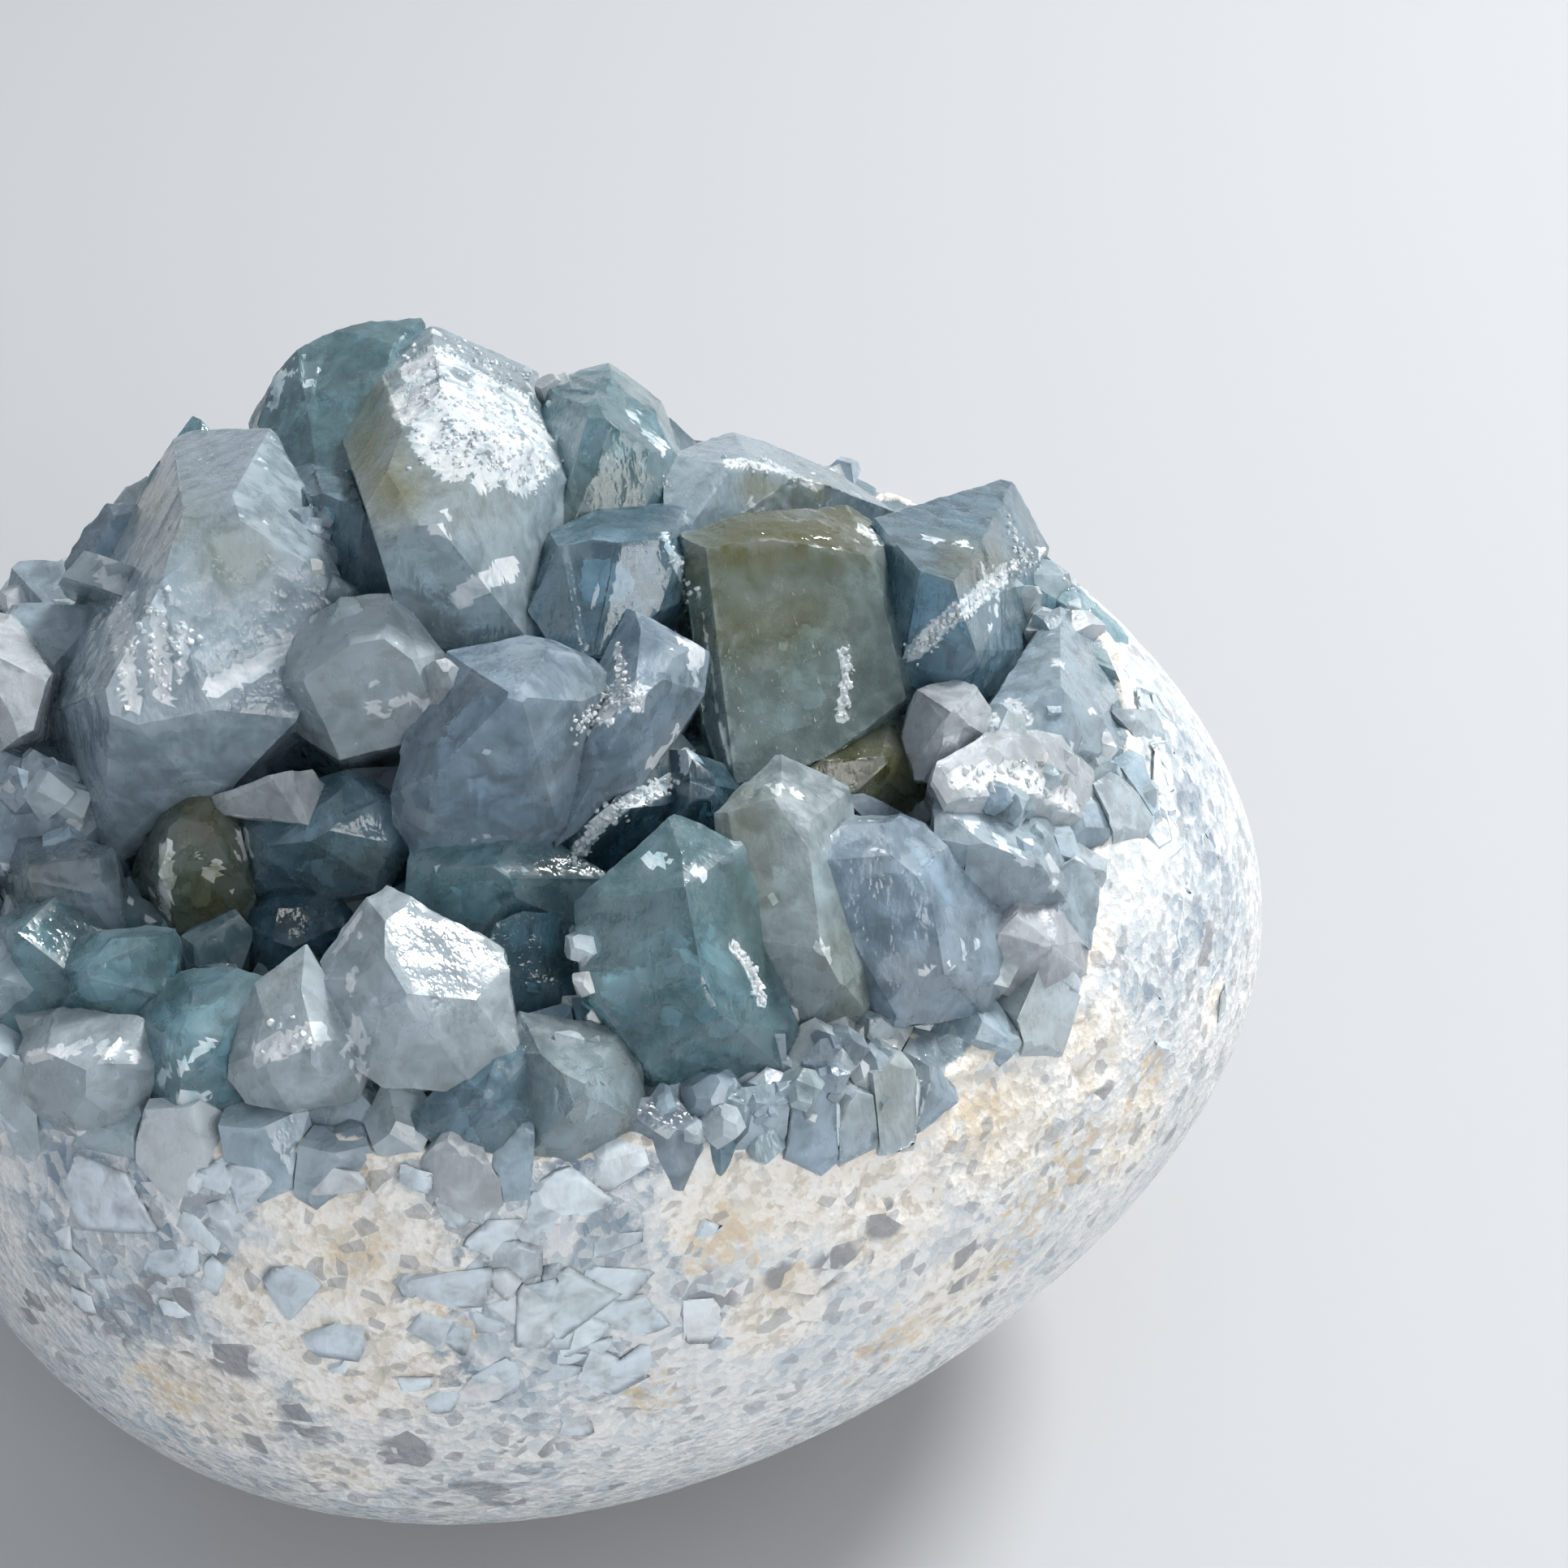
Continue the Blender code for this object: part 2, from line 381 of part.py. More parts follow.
def seams(i, j):
    """Flat faces that could part two crystals: a normal from i to j, how far along it, and which of them it cuts."""
    found = []
    if "flat" in i and "flat" in j:
        n, at = line_between(i["flat"], j["flat"])
        t = np.array([-n[1], n[0]])
        at = at + t * (((i["flat"].mean(0) + j["flat"].mean(0)) / 2 - at) @ t)
        level = min(1.0, (shell(i["shown"]).mean() + shell(j["shown"]).mean()) / 2)
        a, b = view.spot(*(at - t * 30), level), view.spot(*(at + t * 30), level)
        down = -(i["w"] + j["w"]) / np.linalg.norm(i["w"] + j["w"])
        for mix in (0.0, 0.2, 0.4, 0.6, 0.8, 1.0):
            m = np.cross(b - a, view.ray(*at) * (1 - mix) + down * mix)
            m /= np.linalg.norm(m)
            if (view.spot(*(at + n * 30), level) - a) @ m < 0:
                m = -m
            found.append((m, m @ a, "both"))
    a, b = i["heart"] - fan_point, j["heart"] - fan_point
    n = b / np.linalg.norm(b) - a / np.linalg.norm(a)
    n /= np.linalg.norm(n)
    found.append((n, n @ fan_point, "both"))
    found += [(-f[:3], -f[3] - GAP / 2, "i") for f in j["planes"] if (body(j) @ f[:3] > f[3] - 0.05).sum() >= 3]
    found += [(f[:3], f[3] + GAP / 2, "j") for f in i["planes"] if (body(i) @ f[:3] > f[3] - 0.05).sum() >= 3]
    return found


def kept(c, n, d):
    """How much of a crystal stays on the inner side of a plane."""
    heart = 0 if c["heart"] @ n - d < -0.5 else -5
    root = 1.0 if c["root"] @ n < d else 0
    return (c["shown"] @ n - d < 0.4).mean() * c["rank"] + root + 0.3 * (body(c) @ n - d < 0.4).mean() + heart


def part(i, j):
    """Gives two crystals that grew into each other a flat face between them, where it costs them least."""
    if apart(i, j):
        return
    n, d, which = max(seams(i, j), key=lambda s: kept(i, s[0], s[1] - GAP / 2) + kept(j, -s[0], -s[1] - GAP / 2))
    if which != "j":
        i["planes"] = np.vstack([i["planes"], np.append(n, d - GAP / 2 - 0.01)])
    if which != "i":
        j["planes"] = np.vstack([j["planes"], np.append(-n, -d - GAP / 2 - 0.01)])


def grow_crystals():
    grown = []
    for name, kind, reach, outline, peaks in FRONT:
        grown.append(dict(seen_crystal(outline, reach, peaks), name=name, kind=kind))
    for name, kind, *shape in REAR:
        grown.append(dict(block(*shape), name=name, kind=kind))
    for i, c in enumerate(grown):
        stand_clear(c)
        for other in grown[:i]:
            part(c, other)
    lost = [c["name"] for c in grown if len(body(c)) < 4]
    if lost:
        raise ValueError("no room for " + ", ".join(lost))
    return grown


def material(name, kind):
    colour, rough = KINDS[kind]
    made = bpy.data.materials.new(name)
    made.use_nodes = True
    made.diffuse_color = (*colour, 1.0)
    shader = made.node_tree.nodes["Principled BSDF"]
    shader.inputs["Base Color"].default_value = (*colour, 1.0)
    shader.inputs["Roughness"].default_value = rough
    shader.inputs["Metallic"].default_value = 0.0
    shader.inputs["IOR"].default_value = 1.54 if kind == "rock" else 1.62
    if kind != "rock":
        shader.inputs["Transmission Weight"].default_value = 0.7
    return made


def crystal_object(c, collection):
    """One closed body: the hull of the crystal's corners, with flat faces kept whole."""
    bm = bmesh.new()
    for q in body(c):
        bm.verts.new((q - c["root"]) * MM)
    hull = bmesh.ops.convex_hull(bm, input=bm.verts)
    spare = {g for g in hull["geom_interior"] + hull["geom_unused"] if isinstance(g, bmesh.types.BMVert)}
    bmesh.ops.delete(bm, geom=list(spare), context="VERTS")
    bmesh.ops.dissolve_limit(bm, angle_limit=math.radians(0.4), verts=bm.verts, edges=bm.edges)
    bmesh.ops.recalc_face_normals(bm, faces=bm.faces)
    name = "crystal_" + c["name"]
    mesh = bpy.data.meshes.new(name)
    bm.to_mesh(mesh)
    bm.free()
    mesh.materials.append(material(name, c["kind"]))
    made = bpy.data.objects.new(name, mesh)
    made.location = c["root"] * MM
    collection.objects.link(made)
    return made


def rock_object(collection):
    """The stone body: a sphere's rings spread over the egg up to the rim, and over the bed inside the rim."""
    rings = BED_RINGS + BODY_RINGS
    bm = bmesh.new()
    bmesh.ops.create_uvsphere(bm, u_segments=SEGMENTS, v_segments=rings, radius=1.0)
    for v in bm.verts:
        turn = math.atan2(v.co.y, v.co.x)
        ring = round(math.acos(max(-1.0, min(1.0, v.co.z))) / math.pi * rings)
        reach, rise = rim_reach(turn), rim_height(turn)
        if ring <= BED_RINGS:
            share = ring / BED_RINGS
            x, y = CENTRE[0] + reach * share * math.cos(turn), CENTRE[1] + reach * share * math.sin(turn)
            p = np.array([x, y, bed(x, y)]) if ring < BED_RINGS else np.array([x, y, CENTRE[2] + rise])
        else:
            start = math.atan2(reach, rise)
            a = start + (math.pi - start) * (ring - BED_RINGS) / BODY_RINGS
            p = out_to_shell(np.array([math.sin(a) * math.cos(turn), math.sin(a) * math.sin(turn), math.cos(a)]), 1.0)
            p[2] = max(p[2], 0.0)
        v.co = p * MM
    bmesh.ops.recalc_face_normals(bm, faces=bm.faces)
    mesh = bpy.data.meshes.new("rock_matrix")
    bm.to_mesh(mesh)
    bm.free()
    mesh.materials.append(material("rock_matrix", "rock"))
    made = bpy.data.objects.new("rock_matrix", mesh)
    collection.objects.link(made)
    for face in mesh.polygons:
        face.use_smooth = True
    mesh.set_sharp_from_angle(angle=math.radians(40))
    return made


def main():
    for old in list(bpy.data.objects):
        bpy.data.objects.remove(old, do_unlink=True)
    collection = bpy.data.collections.new("celestite_egg")
    bpy.context.scene.collection.children.link(collection)
    rock_object(collection)
    for c in grow_crystals():
        crystal_object(c, collection)


main()
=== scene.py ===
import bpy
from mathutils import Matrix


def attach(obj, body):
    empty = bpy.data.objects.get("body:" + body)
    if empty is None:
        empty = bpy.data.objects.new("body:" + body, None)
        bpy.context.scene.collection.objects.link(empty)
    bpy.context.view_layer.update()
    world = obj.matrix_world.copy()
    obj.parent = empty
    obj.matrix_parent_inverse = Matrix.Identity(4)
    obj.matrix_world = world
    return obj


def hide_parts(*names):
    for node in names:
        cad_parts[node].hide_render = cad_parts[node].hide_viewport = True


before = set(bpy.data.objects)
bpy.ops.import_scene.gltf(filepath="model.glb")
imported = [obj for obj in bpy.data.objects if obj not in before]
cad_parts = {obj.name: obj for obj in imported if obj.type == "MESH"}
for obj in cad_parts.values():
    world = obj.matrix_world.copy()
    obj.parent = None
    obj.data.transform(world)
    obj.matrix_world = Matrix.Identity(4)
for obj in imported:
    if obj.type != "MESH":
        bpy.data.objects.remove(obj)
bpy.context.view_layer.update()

import math
from itertools import combinations

import bmesh
import bpy
import numpy as np
from mathutils import Vector
from mathutils.bvhtree import BVHTree

# A celestite egg: ground smooth round the outside, crystals standing in the opening on top.
# Lengths are in millimetres and angles in degrees; meshes are made in metres.
MM = 0.001

# The egg
EGG_HALF = 50.0  # half its length
EGG_RADIUS = 40.0  # its radius half way along
EGG_TAPER = 0.203  # how much thinner it is towards the narrow end
EGG_DIP = 8.0  # the narrow end hangs a little lower
CENTRE = np.array([6.9, 0.0, 38.43])  # its middle, above the flat spot

# The opening: height of its rim over the egg's middle, every 30 degrees round from +X
RIM_HEIGHTS = [22.0, 20.0, 17.0, 18.0, 16.0, 17.0, 15.0, 14.5, 18.0, 16.5, 13.5, 19.5]
BED_FLOOR = 20.0  # middle of the bed, over the egg's middle
# Mounds on the bed and one hollow: where they are from the egg's middle, their height and their spread
MOUNDS = [(-6.0, 2.0, 4.5, 10.0), (-15.0, 14.0, 7.0, 5.0), (-30.0, 9.0, 3.0, 5.0), (-17.0, -10.0, 1.5, 5.0), (-20.0, -20.0, -3.0, 6.0)]
BED_GAP = -1.6  # a crystal's foot is rooted this far under the bed
FAN = 45.0  # the crystals fan out from a point this far under the egg's middle
UNDERCUT = 0.85  # how far a front face leans back under its crystal

# The measuring view: crystal outlines are read in its square picture plane
VIEW_TURN, VIEW_RISE, VIEW_AWAY, VIEW_FIELD = -12.4, 42.0, 173.7, 36.0
VIEW_SIDE, VIEW_U, VIEW_V = 1932.0, 736.0, 1144.0

# Crystals seen from the front. Each has an outline in the measuring view, how far out its top and its bottom
# reach (1 is the egg's own surface), and its peaks, which stand out further.
# name, kind, (top, bottom), outline, peaks
FRONT = [
    ("round_front", "pale", (0.95, 0.97), [(398, 1222), (404, 1182), (476, 1108), (522, 1122), (574, 1162), (604, 1184), (627, 1232), (622, 1287), (580, 1328), (480, 1322), (418, 1275)], [(480, 1165, 1.0), (560, 1210, 1.0), (500, 1255, 1.0)]),
    ("rhomb_left", "pale", (0.90, 0.82), [(352, 868), (373, 797), (425, 750), (475, 742), (515, 800), (560, 850), (545, 888), (422, 918), (378, 890)], [(440, 800, 0.93), (500, 850, 0.93), (400, 860, 0.93)]),
    ("centre_twin", "lilac", (0.90, 0.78), [(487, 985), (500, 962), (530, 920), (556, 862), (566, 820), (600, 790), (650, 790), (690, 792), (722, 820), (742, 850), (712, 950), (700, 1008), (650, 1034), (580, 1041), (520, 1040), (495, 1008)], [(620, 830, 0.93), (700, 850, 0.92), (560, 925, 0.90), (600, 1000, 0.89), (680, 960, 0.88)]),
    ("olive_block", "olive", (0.93, 0.80), [(852, 668), (905, 645), (1010, 628), (1050, 642), (1095, 678), (1100, 780), (1112, 862), (1088, 892), (1000, 932), (905, 955), (888, 900), (872, 760)], [(905, 690, 0.96), (1062, 690, 0.97), (1040, 860, 0.95), (905, 900, 0.93)]),
    ("giant_left", "milky", (0.93, 0.80), [(277, 529), (330, 548), (372, 610), (412, 733), (372, 800), (350, 880), (258, 975), (142, 1046), (50, 892), (105, 790), (160, 665), (225, 550)], [(150, 860, 0.97), (345, 840, 0.95), (290, 620, 0.97), (215, 700, 0.97)]),
    ("crown_top", "crust", (0.95, 0.80), [(440, 505), (472, 452), (532, 418), (600, 432), (650, 472), (685, 540), (696, 610), (668, 700), (645, 788), (600, 793), (520, 798), (502, 720), (478, 625), (440, 545)], [(500, 520, 0.97), (640, 560, 0.97), (570, 700, 0.95), (500, 740, 0.94)]),
    ("wedge_centre", "teal", (0.92, 0.93), [(728, 1120), (790, 1050), (835, 1025), (870, 1027), (897, 1055), (905, 1160), (962, 1270), (955, 1310), (870, 1322), (780, 1322), (735, 1245), (728, 1185)], [(840, 1090, 0.98), (830, 1210, 0.98), (900, 1260, 0.98)]),
    ("roof_back", "deep", (0.96, 0.86), [(1090, 655), (1105, 638), (1235, 610), (1258, 625), (1276, 680), (1270, 740), (1255, 800), (1205, 850), (1150, 855), (1120, 822), (1112, 750)], [(1120, 690, 0.98), (1225, 665, 0.99), (1190, 800, 0.97)]),
    ("lilac_slab", "lilac", (0.88, 0.80), [(785, 768), (858, 798), (852, 850), (822, 905), (775, 960), (722, 998), (702, 1010), (702, 950), (720, 890), (750, 850), (766, 800)], [(815, 820, 0.93), (760, 900, 0.92)]),
    ("striated_blue", "deep", (0.88, 0.84), [(672, 715), (688, 670), (740, 648), (838, 638), (858, 690), (832, 740), (786, 790), (700, 795), (680, 785), (668, 750)], [(700, 690, 0.92), (820, 670, 0.92), (770, 760, 0.91)]),
    ("round_back", "teal", (0.94, 0.86), [(660, 478), (700, 470), (745, 462), (775, 472), (803, 505), (820, 550), (828, 575), (805, 615), (770, 642), (700, 645), (694, 600), (680, 540)], [(730, 510, 0.97), (790, 540, 0.97), (740, 600, 0.96)]),
    ("pale_right", "lilac", (0.93, 0.95), [(1020, 1065), (1045, 1010), (1075, 1003), (1110, 1018), (1165, 1042), (1202, 1075), (1226, 1130), (1230, 1200), (1200, 1242), (1090, 1250), (1066, 1165), (1030, 1110)], [(1090, 1060, 0.98), (1150, 1120, 0.99), (1160, 1200, 0.99)]),
    ("grey_green", "olive_pale", (0.88, 0.90), [(915, 975), (960, 951), (1000, 958), (1030, 985), (1022, 1040), (1030, 1110), (1066, 1168), (1063, 1250), (985, 1256), (942, 1225), (906, 1160), (895, 1080), (897, 1010)], [(960, 1010, 0.95), (975, 1150, 0.96), (1030, 1210, 0.96)]),
    ("upright_block", "pale_teal", (0.93, 0.96), [(632, 1300), (650, 1268), (690, 1276), (752, 1283), (772, 1312), (778, 1380), (760, 1402), (700, 1430), (652, 1422), (642, 1360)], [(665, 1300, 0.98), (740, 1320, 0.99), (700, 1400, 0.99)]),
    ("split_front", "pale", (0.95, 0.97), [(9, 1320), (25, 1293), (80, 1258), (165, 1270), (179, 1310), (176, 1350), (160, 1382), (110, 1412), (60, 1392), (20, 1352)], [(60, 1310, 1.0), (130, 1310, 1.0), (100, 1370, 1.0)]),
    ("sparkle_front", "teal", (0.91, 0.94), [(186, 1300), (182, 1250), (225, 1215), (290, 1210), (330, 1226), (312, 1270), (292, 1310), (300, 1350), (272, 1382), (204, 1382)], [(230, 1250, 0.96), (270, 1290, 0.97), (230, 1350, 0.98)]),
    ("milky_front", "pale", (0.95, 0.97), [(292, 1312), (304, 1270), (330, 1226), (374, 1192), (392, 1222), (408, 1275), (440, 1312), (430, 1338), (360, 1352), (314, 1342)], [(340, 1260, 0.99), (400, 1300, 1.0), (340, 1320, 1.0)]),
    ("blue_slab", "deep", (0.97, 0.97), [(518, 1392), (575, 1332), (615, 1306), (640, 1310), (648, 1400), (625, 1410), (572, 1408)], [(600, 1350, 1.0)]),
    ("back_left_pale", "pale", (0.94, 0.90), [(42, 705), (60, 655), (78, 628), (120, 620), (148, 642), (150, 658), (128, 692), (104, 716), (84, 718)], [(90, 660, 0.97), (110, 690, 0.97)]),
    ("left_white", "white", (0.94, 0.92), [(-60, 800), (-14, 768), (10, 772), (42, 834), (42, 852), (28, 890), (0, 912), (-60, 920)], [(0, 810, 0.97), (10, 870, 0.97)]),
    ("top_blue", "teal", (0.96, 0.87), [(324, 525), (332, 508), (345, 478), (364, 442), (372, 434), (440, 424), (505, 412), (455, 460), (436, 496), (441, 560), (400, 588), (362, 577), (326, 550)], [(380, 470, 0.97), (380, 530, 0.95)]),
    ("small_dark_top", "deep", (0.87, 0.82), [(374, 588), (385, 578), (430, 590), (462, 608), (478, 650), (480, 735), (440, 740), (408, 700), (384, 640)], [(400, 620, 0.90), (450, 650, 0.90), (430, 710, 0.89)]),
    ("back_small", "white", (0.96, 0.94), [(634, 455), (655, 437), (695, 437), (732, 460), (700, 476), (640, 480)], [(680, 452, 0.97)]),
    ("back_right_far", "milky", (0.91, 0.88), [(832, 578), (870, 560), (904, 551), (950, 565), (1015, 592), (1088, 638), (1060, 638), (1005, 620), (900, 638), (850, 652), (834, 620)], [(905, 590, 0.94), (1000, 620, 0.93)]),
    ("sugar_right", "white", (0.92, 0.88), [(1130, 905), (1140, 870), (1200, 858), (1216, 882), (1210, 918), (1166, 952), (1140, 946)], [(1170, 890, 0.96)]),
    ("grey_right", "milky", (0.95, 0.93), [(1216, 905), (1250, 850), (1300, 770), (1330, 780), (1376, 860), (1392, 935), (1340, 952), (1260, 950)], [(1300, 850, 0.99), (1340, 910, 0.99)]),
    ("lilac_right", "milky", (0.95, 0.95), [(1167, 1000), (1200, 984), (1260, 992), (1290, 1040), (1320, 1090), (1322, 1132), (1240, 1112), (1202, 1075), (1167, 1042)], [(1220, 1030, 0.99), (1280, 1080, 1.0)]),
    ("plate_right", "white", (0.97, 0.95), [(1160, 985), (1168, 955), (1220, 925), (1290, 920), (1330, 965), (1330, 1010), (1262, 992), (1200, 984)], [(1240, 955, 1.0)]),
    ("rose_right", "rose", (0.97, 0.97), [(1244, 1132), (1300, 1124), (1326, 1160), (1320, 1192), (1272, 1226), (1248, 1212), (1240, 1170)], [(1285, 1165, 1.0)]),
    ("navy_blade", "navy", (0.80, 0.74), [(822, 903), (840, 925), (838, 978), (800, 1012), (735, 1062), (700, 1075), (697, 1030), (720, 1000), (770, 960)], [(800, 950, 0.82), (740, 1020, 0.81)]),
    ("navy_corner", "navy", (0.80, 0.76), [(842, 925), (880, 945), (912, 982), (905, 1012), (880, 1026), (830, 1022), (834, 975)], [(865, 970, 0.84)]),
    ("olive_left", "amber", (0.80, 0.76), [(205, 1002), (250, 975), (272, 990), (286, 1060), (298, 1105), (280, 1148), (230, 1150), (196, 1126), (180, 1080), (186, 1040)], [(225, 1030, 0.84), (250, 1110, 0.85)]),
    ("left_dark_block", "smoky", (0.87, 0.85), [(-5, 1070), (30, 1036), (70, 1045), (128, 1062), (140, 1150), (126, 1172), (70, 1187), (35, 1150)], [(50, 1080, 0.92), (100, 1140, 0.92)]),
    ("left_teal_block", "teal", (0.91, 0.91), [(48, 1212), (110, 1172), (165, 1150), (200, 1160), (204, 1220), (180, 1246), (150, 1262), (64, 1260)], [(120, 1200, 0.95)]),
    ("left_edge_pale", "milky", (0.94, 0.95), [(-70, 1170), (-10, 1146), (42, 1166), (46, 1220), (20, 1275), (-50, 1300)], [(0, 1200, 0.98)]),
    # the valley crystals and the dark wall take dark kinds: their own blue, darkened as painted shade of the valley
    ("valley_teal", "navy", (0.72, 0.70), [(304, 1128), (350, 1096), (400, 1110), (432, 1144), (395, 1205), (330, 1222), (308, 1190)], [(350, 1140, 0.78)]),
    ("valley_deep", "deep", (0.76, 0.72), [(305, 1012), (365, 985), (440, 965), (482, 985), (492, 1040), (470, 1080), (400, 1094), (350, 1080), (312, 1098)], [(400, 1020, 0.79), (340, 1050, 0.78)]),
    ("valley_mass", "teal", (0.78, 0.76), [(500, 1062), (560, 1042), (640, 1036), (722, 1086), (702, 1130), (642, 1150), (580, 1160), (520, 1110)], [(600, 1085, 0.82)]),
    ("dark_wall", "navy", (0.86, 0.84), [(606, 1172), (650, 1150), (692, 1150), (712, 1200), (692, 1252), (650, 1262), (627, 1232)], []),
]

# Crystals round the back and the far end: blocky prisms with a roof of four slopes on top.
# name, kind, turn round the vertical, tilt from it, reach, half width, half depth, twist, slopes
REAR = [
    ("rear_wide", "milky", 66, 44, 0.94, 7.5, 5.5, 25, (50, 40, 65, 25)),
    ("rear_tall", "teal", 92, 48, 0.95, 6.5, 6.0, -10, (45, 60, 35, 50)),
    ("rear_roof", "lilac", 117, 48, 0.94, 7.5, 5.0, 40, (62, 30, 48, 48)),
    ("rear_left", "pale", 140, 52, 0.95, 6.5, 5.5, 10, (40, 55, 60, 30)),
    ("rear_edge_left", "milky", 163, 56, 0.96, 6.0, 5.0, -30, (50, 50, 35, 60)),
    ("rear_edge_right", "white", 40, 50, 0.96, 6.0, 5.0, 35, (35, 60, 50, 50)),
    ("rear_corner", "deep", 18, 47, 0.95, 5.5, 4.5, 10, (50, 45, 40, 55)),
    ("rear_low", "teal", 79, 57, 0.98, 4.6, 3.4, 15, (60, 35, 40, 55)),
    ("rear_low_left", "deep", 105, 57, 0.98, 4.4, 3.4, -20, (40, 60, 50, 40)),
    ("rear_low_end", "pale", 55, 56, 0.98, 4.6, 3.4, 50, (55, 40, 60, 35)),
    ("rear_high", "milky", 80, 29, 0.86, 6.0, 5.0, 15, (55, 35, 50, 45)),
    ("rear_high_left", "lilac", 122, 33, 0.86, 6.0, 5.0, -25, (40, 60, 45, 50)),
    ("rear_high_right", "pale", 42, 30, 0.84, 5.5, 4.5, 40, (50, 50, 60, 35)),
    ("rear_rim_left", "pale", 129, 59, 0.98, 4.6, 3.8, 30, (45, 60, 40, 50)),
    ("rear_rim_end", "milky", 150, 62, 0.98, 4.4, 3.6, -15, (60, 40, 50, 45)),
    ("end_left", "lilac", 184, 58, 0.95, 6.0, 5.0, 20, (45, 45, 60, 30)),
    ("end_left_front", "teal", 205, 62, 0.97, 5.0, 4.2, 60, (60, 40, 35, 50)),
]

# Smaller crystals between the large ones, in the same form as FRONT
BETWEEN = [
    ("far_small_right", "smoky", (0.94, 0.92), [(1258, 680), (1300, 672), (1314, 692), (1332, 727), (1310, 747), (1274, 737)], [(1295, 700, 0.96)]),
    ("bright_chip", "white", (0.82, 0.80), [(270, 968), (306, 925), (326, 906), (370, 912), (385, 945), (378, 968), (300, 990), (280, 988)], [(330, 940, 0.87)]),
    ("dark_sliver", "teal", (0.89, 0.85), [(152, 635), (155, 600), (178, 568), (202, 552), (224, 547), (200, 592), (166, 642)], []),
    ("amber_pocket", "amber", (0.82, 0.80), [(1000, 945), (1090, 900), (1150, 925), (1160, 985), (1100, 975), (1060, 985), (1030, 985)], [(1080, 940, 0.85)]),
    # a dark smoky crystal set where the bed has a deep recess: painted shade
    ("dark_pocket", "smoky", (0.82, 0.82), [(1060, 985), (1100, 975), (1140, 985), (1165, 1000), (1165, 1044), (1112, 1018), (1075, 1003)], []),
    ("back_left_dark", "smoky", (0.93, 0.90), [(76, 625), (80, 600), (95, 570), (125, 556), (160, 560), (176, 582), (150, 618), (110, 630)], [(110, 585, 0.96), (150, 585, 0.95)]),
    ("bright_small", "white", (0.90, 0.86), [(518, 800), (545, 784), (578, 800), (574, 830), (548, 838), (524, 822)], [(548, 808, 0.93)]),
]

dip = math.radians(EGG_DIP)
fan_point = CENTRE - np.array([0, 0, FAN])


def shell(p):
    """1 on the egg's surface and less inside it, as a share of the egg's size."""
    q = np.asarray(p) - CENTRE
    x = (q[..., 0] * math.cos(dip) - q[..., 2] * math.sin(dip)) / EGG_HALF
    z = q[..., 0] * math.sin(dip) + q[..., 2] * math.cos(dip)
    thin = EGG_RADIUS * (1 - EGG_TAPER * np.clip(x, -1.4, 1.4))
    return np.sqrt(x * x + (q[..., 1] ** 2 + z * z) / thin**2)


def out_to_shell(direction, level):
    """The point of that reach, from the egg's middle."""
    low, high = 0.0, 80.0
    for _ in range(40):
        mid = (low + high) / 2
        if shell(CENTRE + direction * mid) < level:
            low = mid
        else:
            high = mid
    return CENTRE + direction * low


def rim_height(turn):
    t = (turn / math.radians(30)) % 12
    i, f = int(t), t - int(t)
    f = f * f * (3 - 2 * f)
    return RIM_HEIGHTS[i % 12] * (1 - f) + RIM_HEIGHTS[(i + 1) % 12] * f


def rim_reach(turn):
    """How far the rim stands from the upright line through the egg's middle."""
    low, high = 0.0, 60.0
    for _ in range(40):
        mid = (low + high) / 2
        p = CENTRE + np.array([mid * math.cos(turn), mid * math.sin(turn), rim_height(turn)])
        if shell(p) < 1:
            low = mid
        else:
            high = mid
    return low


TURNS = np.arange(73) * 5.0
REACHES = np.array([rim_reach(math.radians(t)) for t in TURNS])
RISES = np.array([rim_height(math.radians(t)) for t in TURNS])


def bed(x, y):
    """Height of the bed that the crystals stand on: almost level, out to the rim."""
    dx, dy = x - CENTRE[0], y - CENTRE[1]
    turn = np.degrees(np.arctan2(dy, dx)) % 360
    share = np.clip(np.hypot(dx, dy) / np.interp(turn, TURNS, REACHES), 0, 1.3)
    mounds = sum(h * np.exp(-((dx - x0) ** 2 + (dy - y0) ** 2) / wide**2 / 2) for x0, y0, h, wide in MOUNDS)
    return CENTRE[2] + BED_FLOOR + mounds + (np.interp(turn, TURNS, RISES) - BED_FLOOR) * share**2


def bed_normal(x, y):
    e = 1.0
    n = np.array([bed(x - e, y) - bed(x + e, y), bed(x, y - e) - bed(x, y + e), 2 * e])
    return n / np.linalg.norm(n)


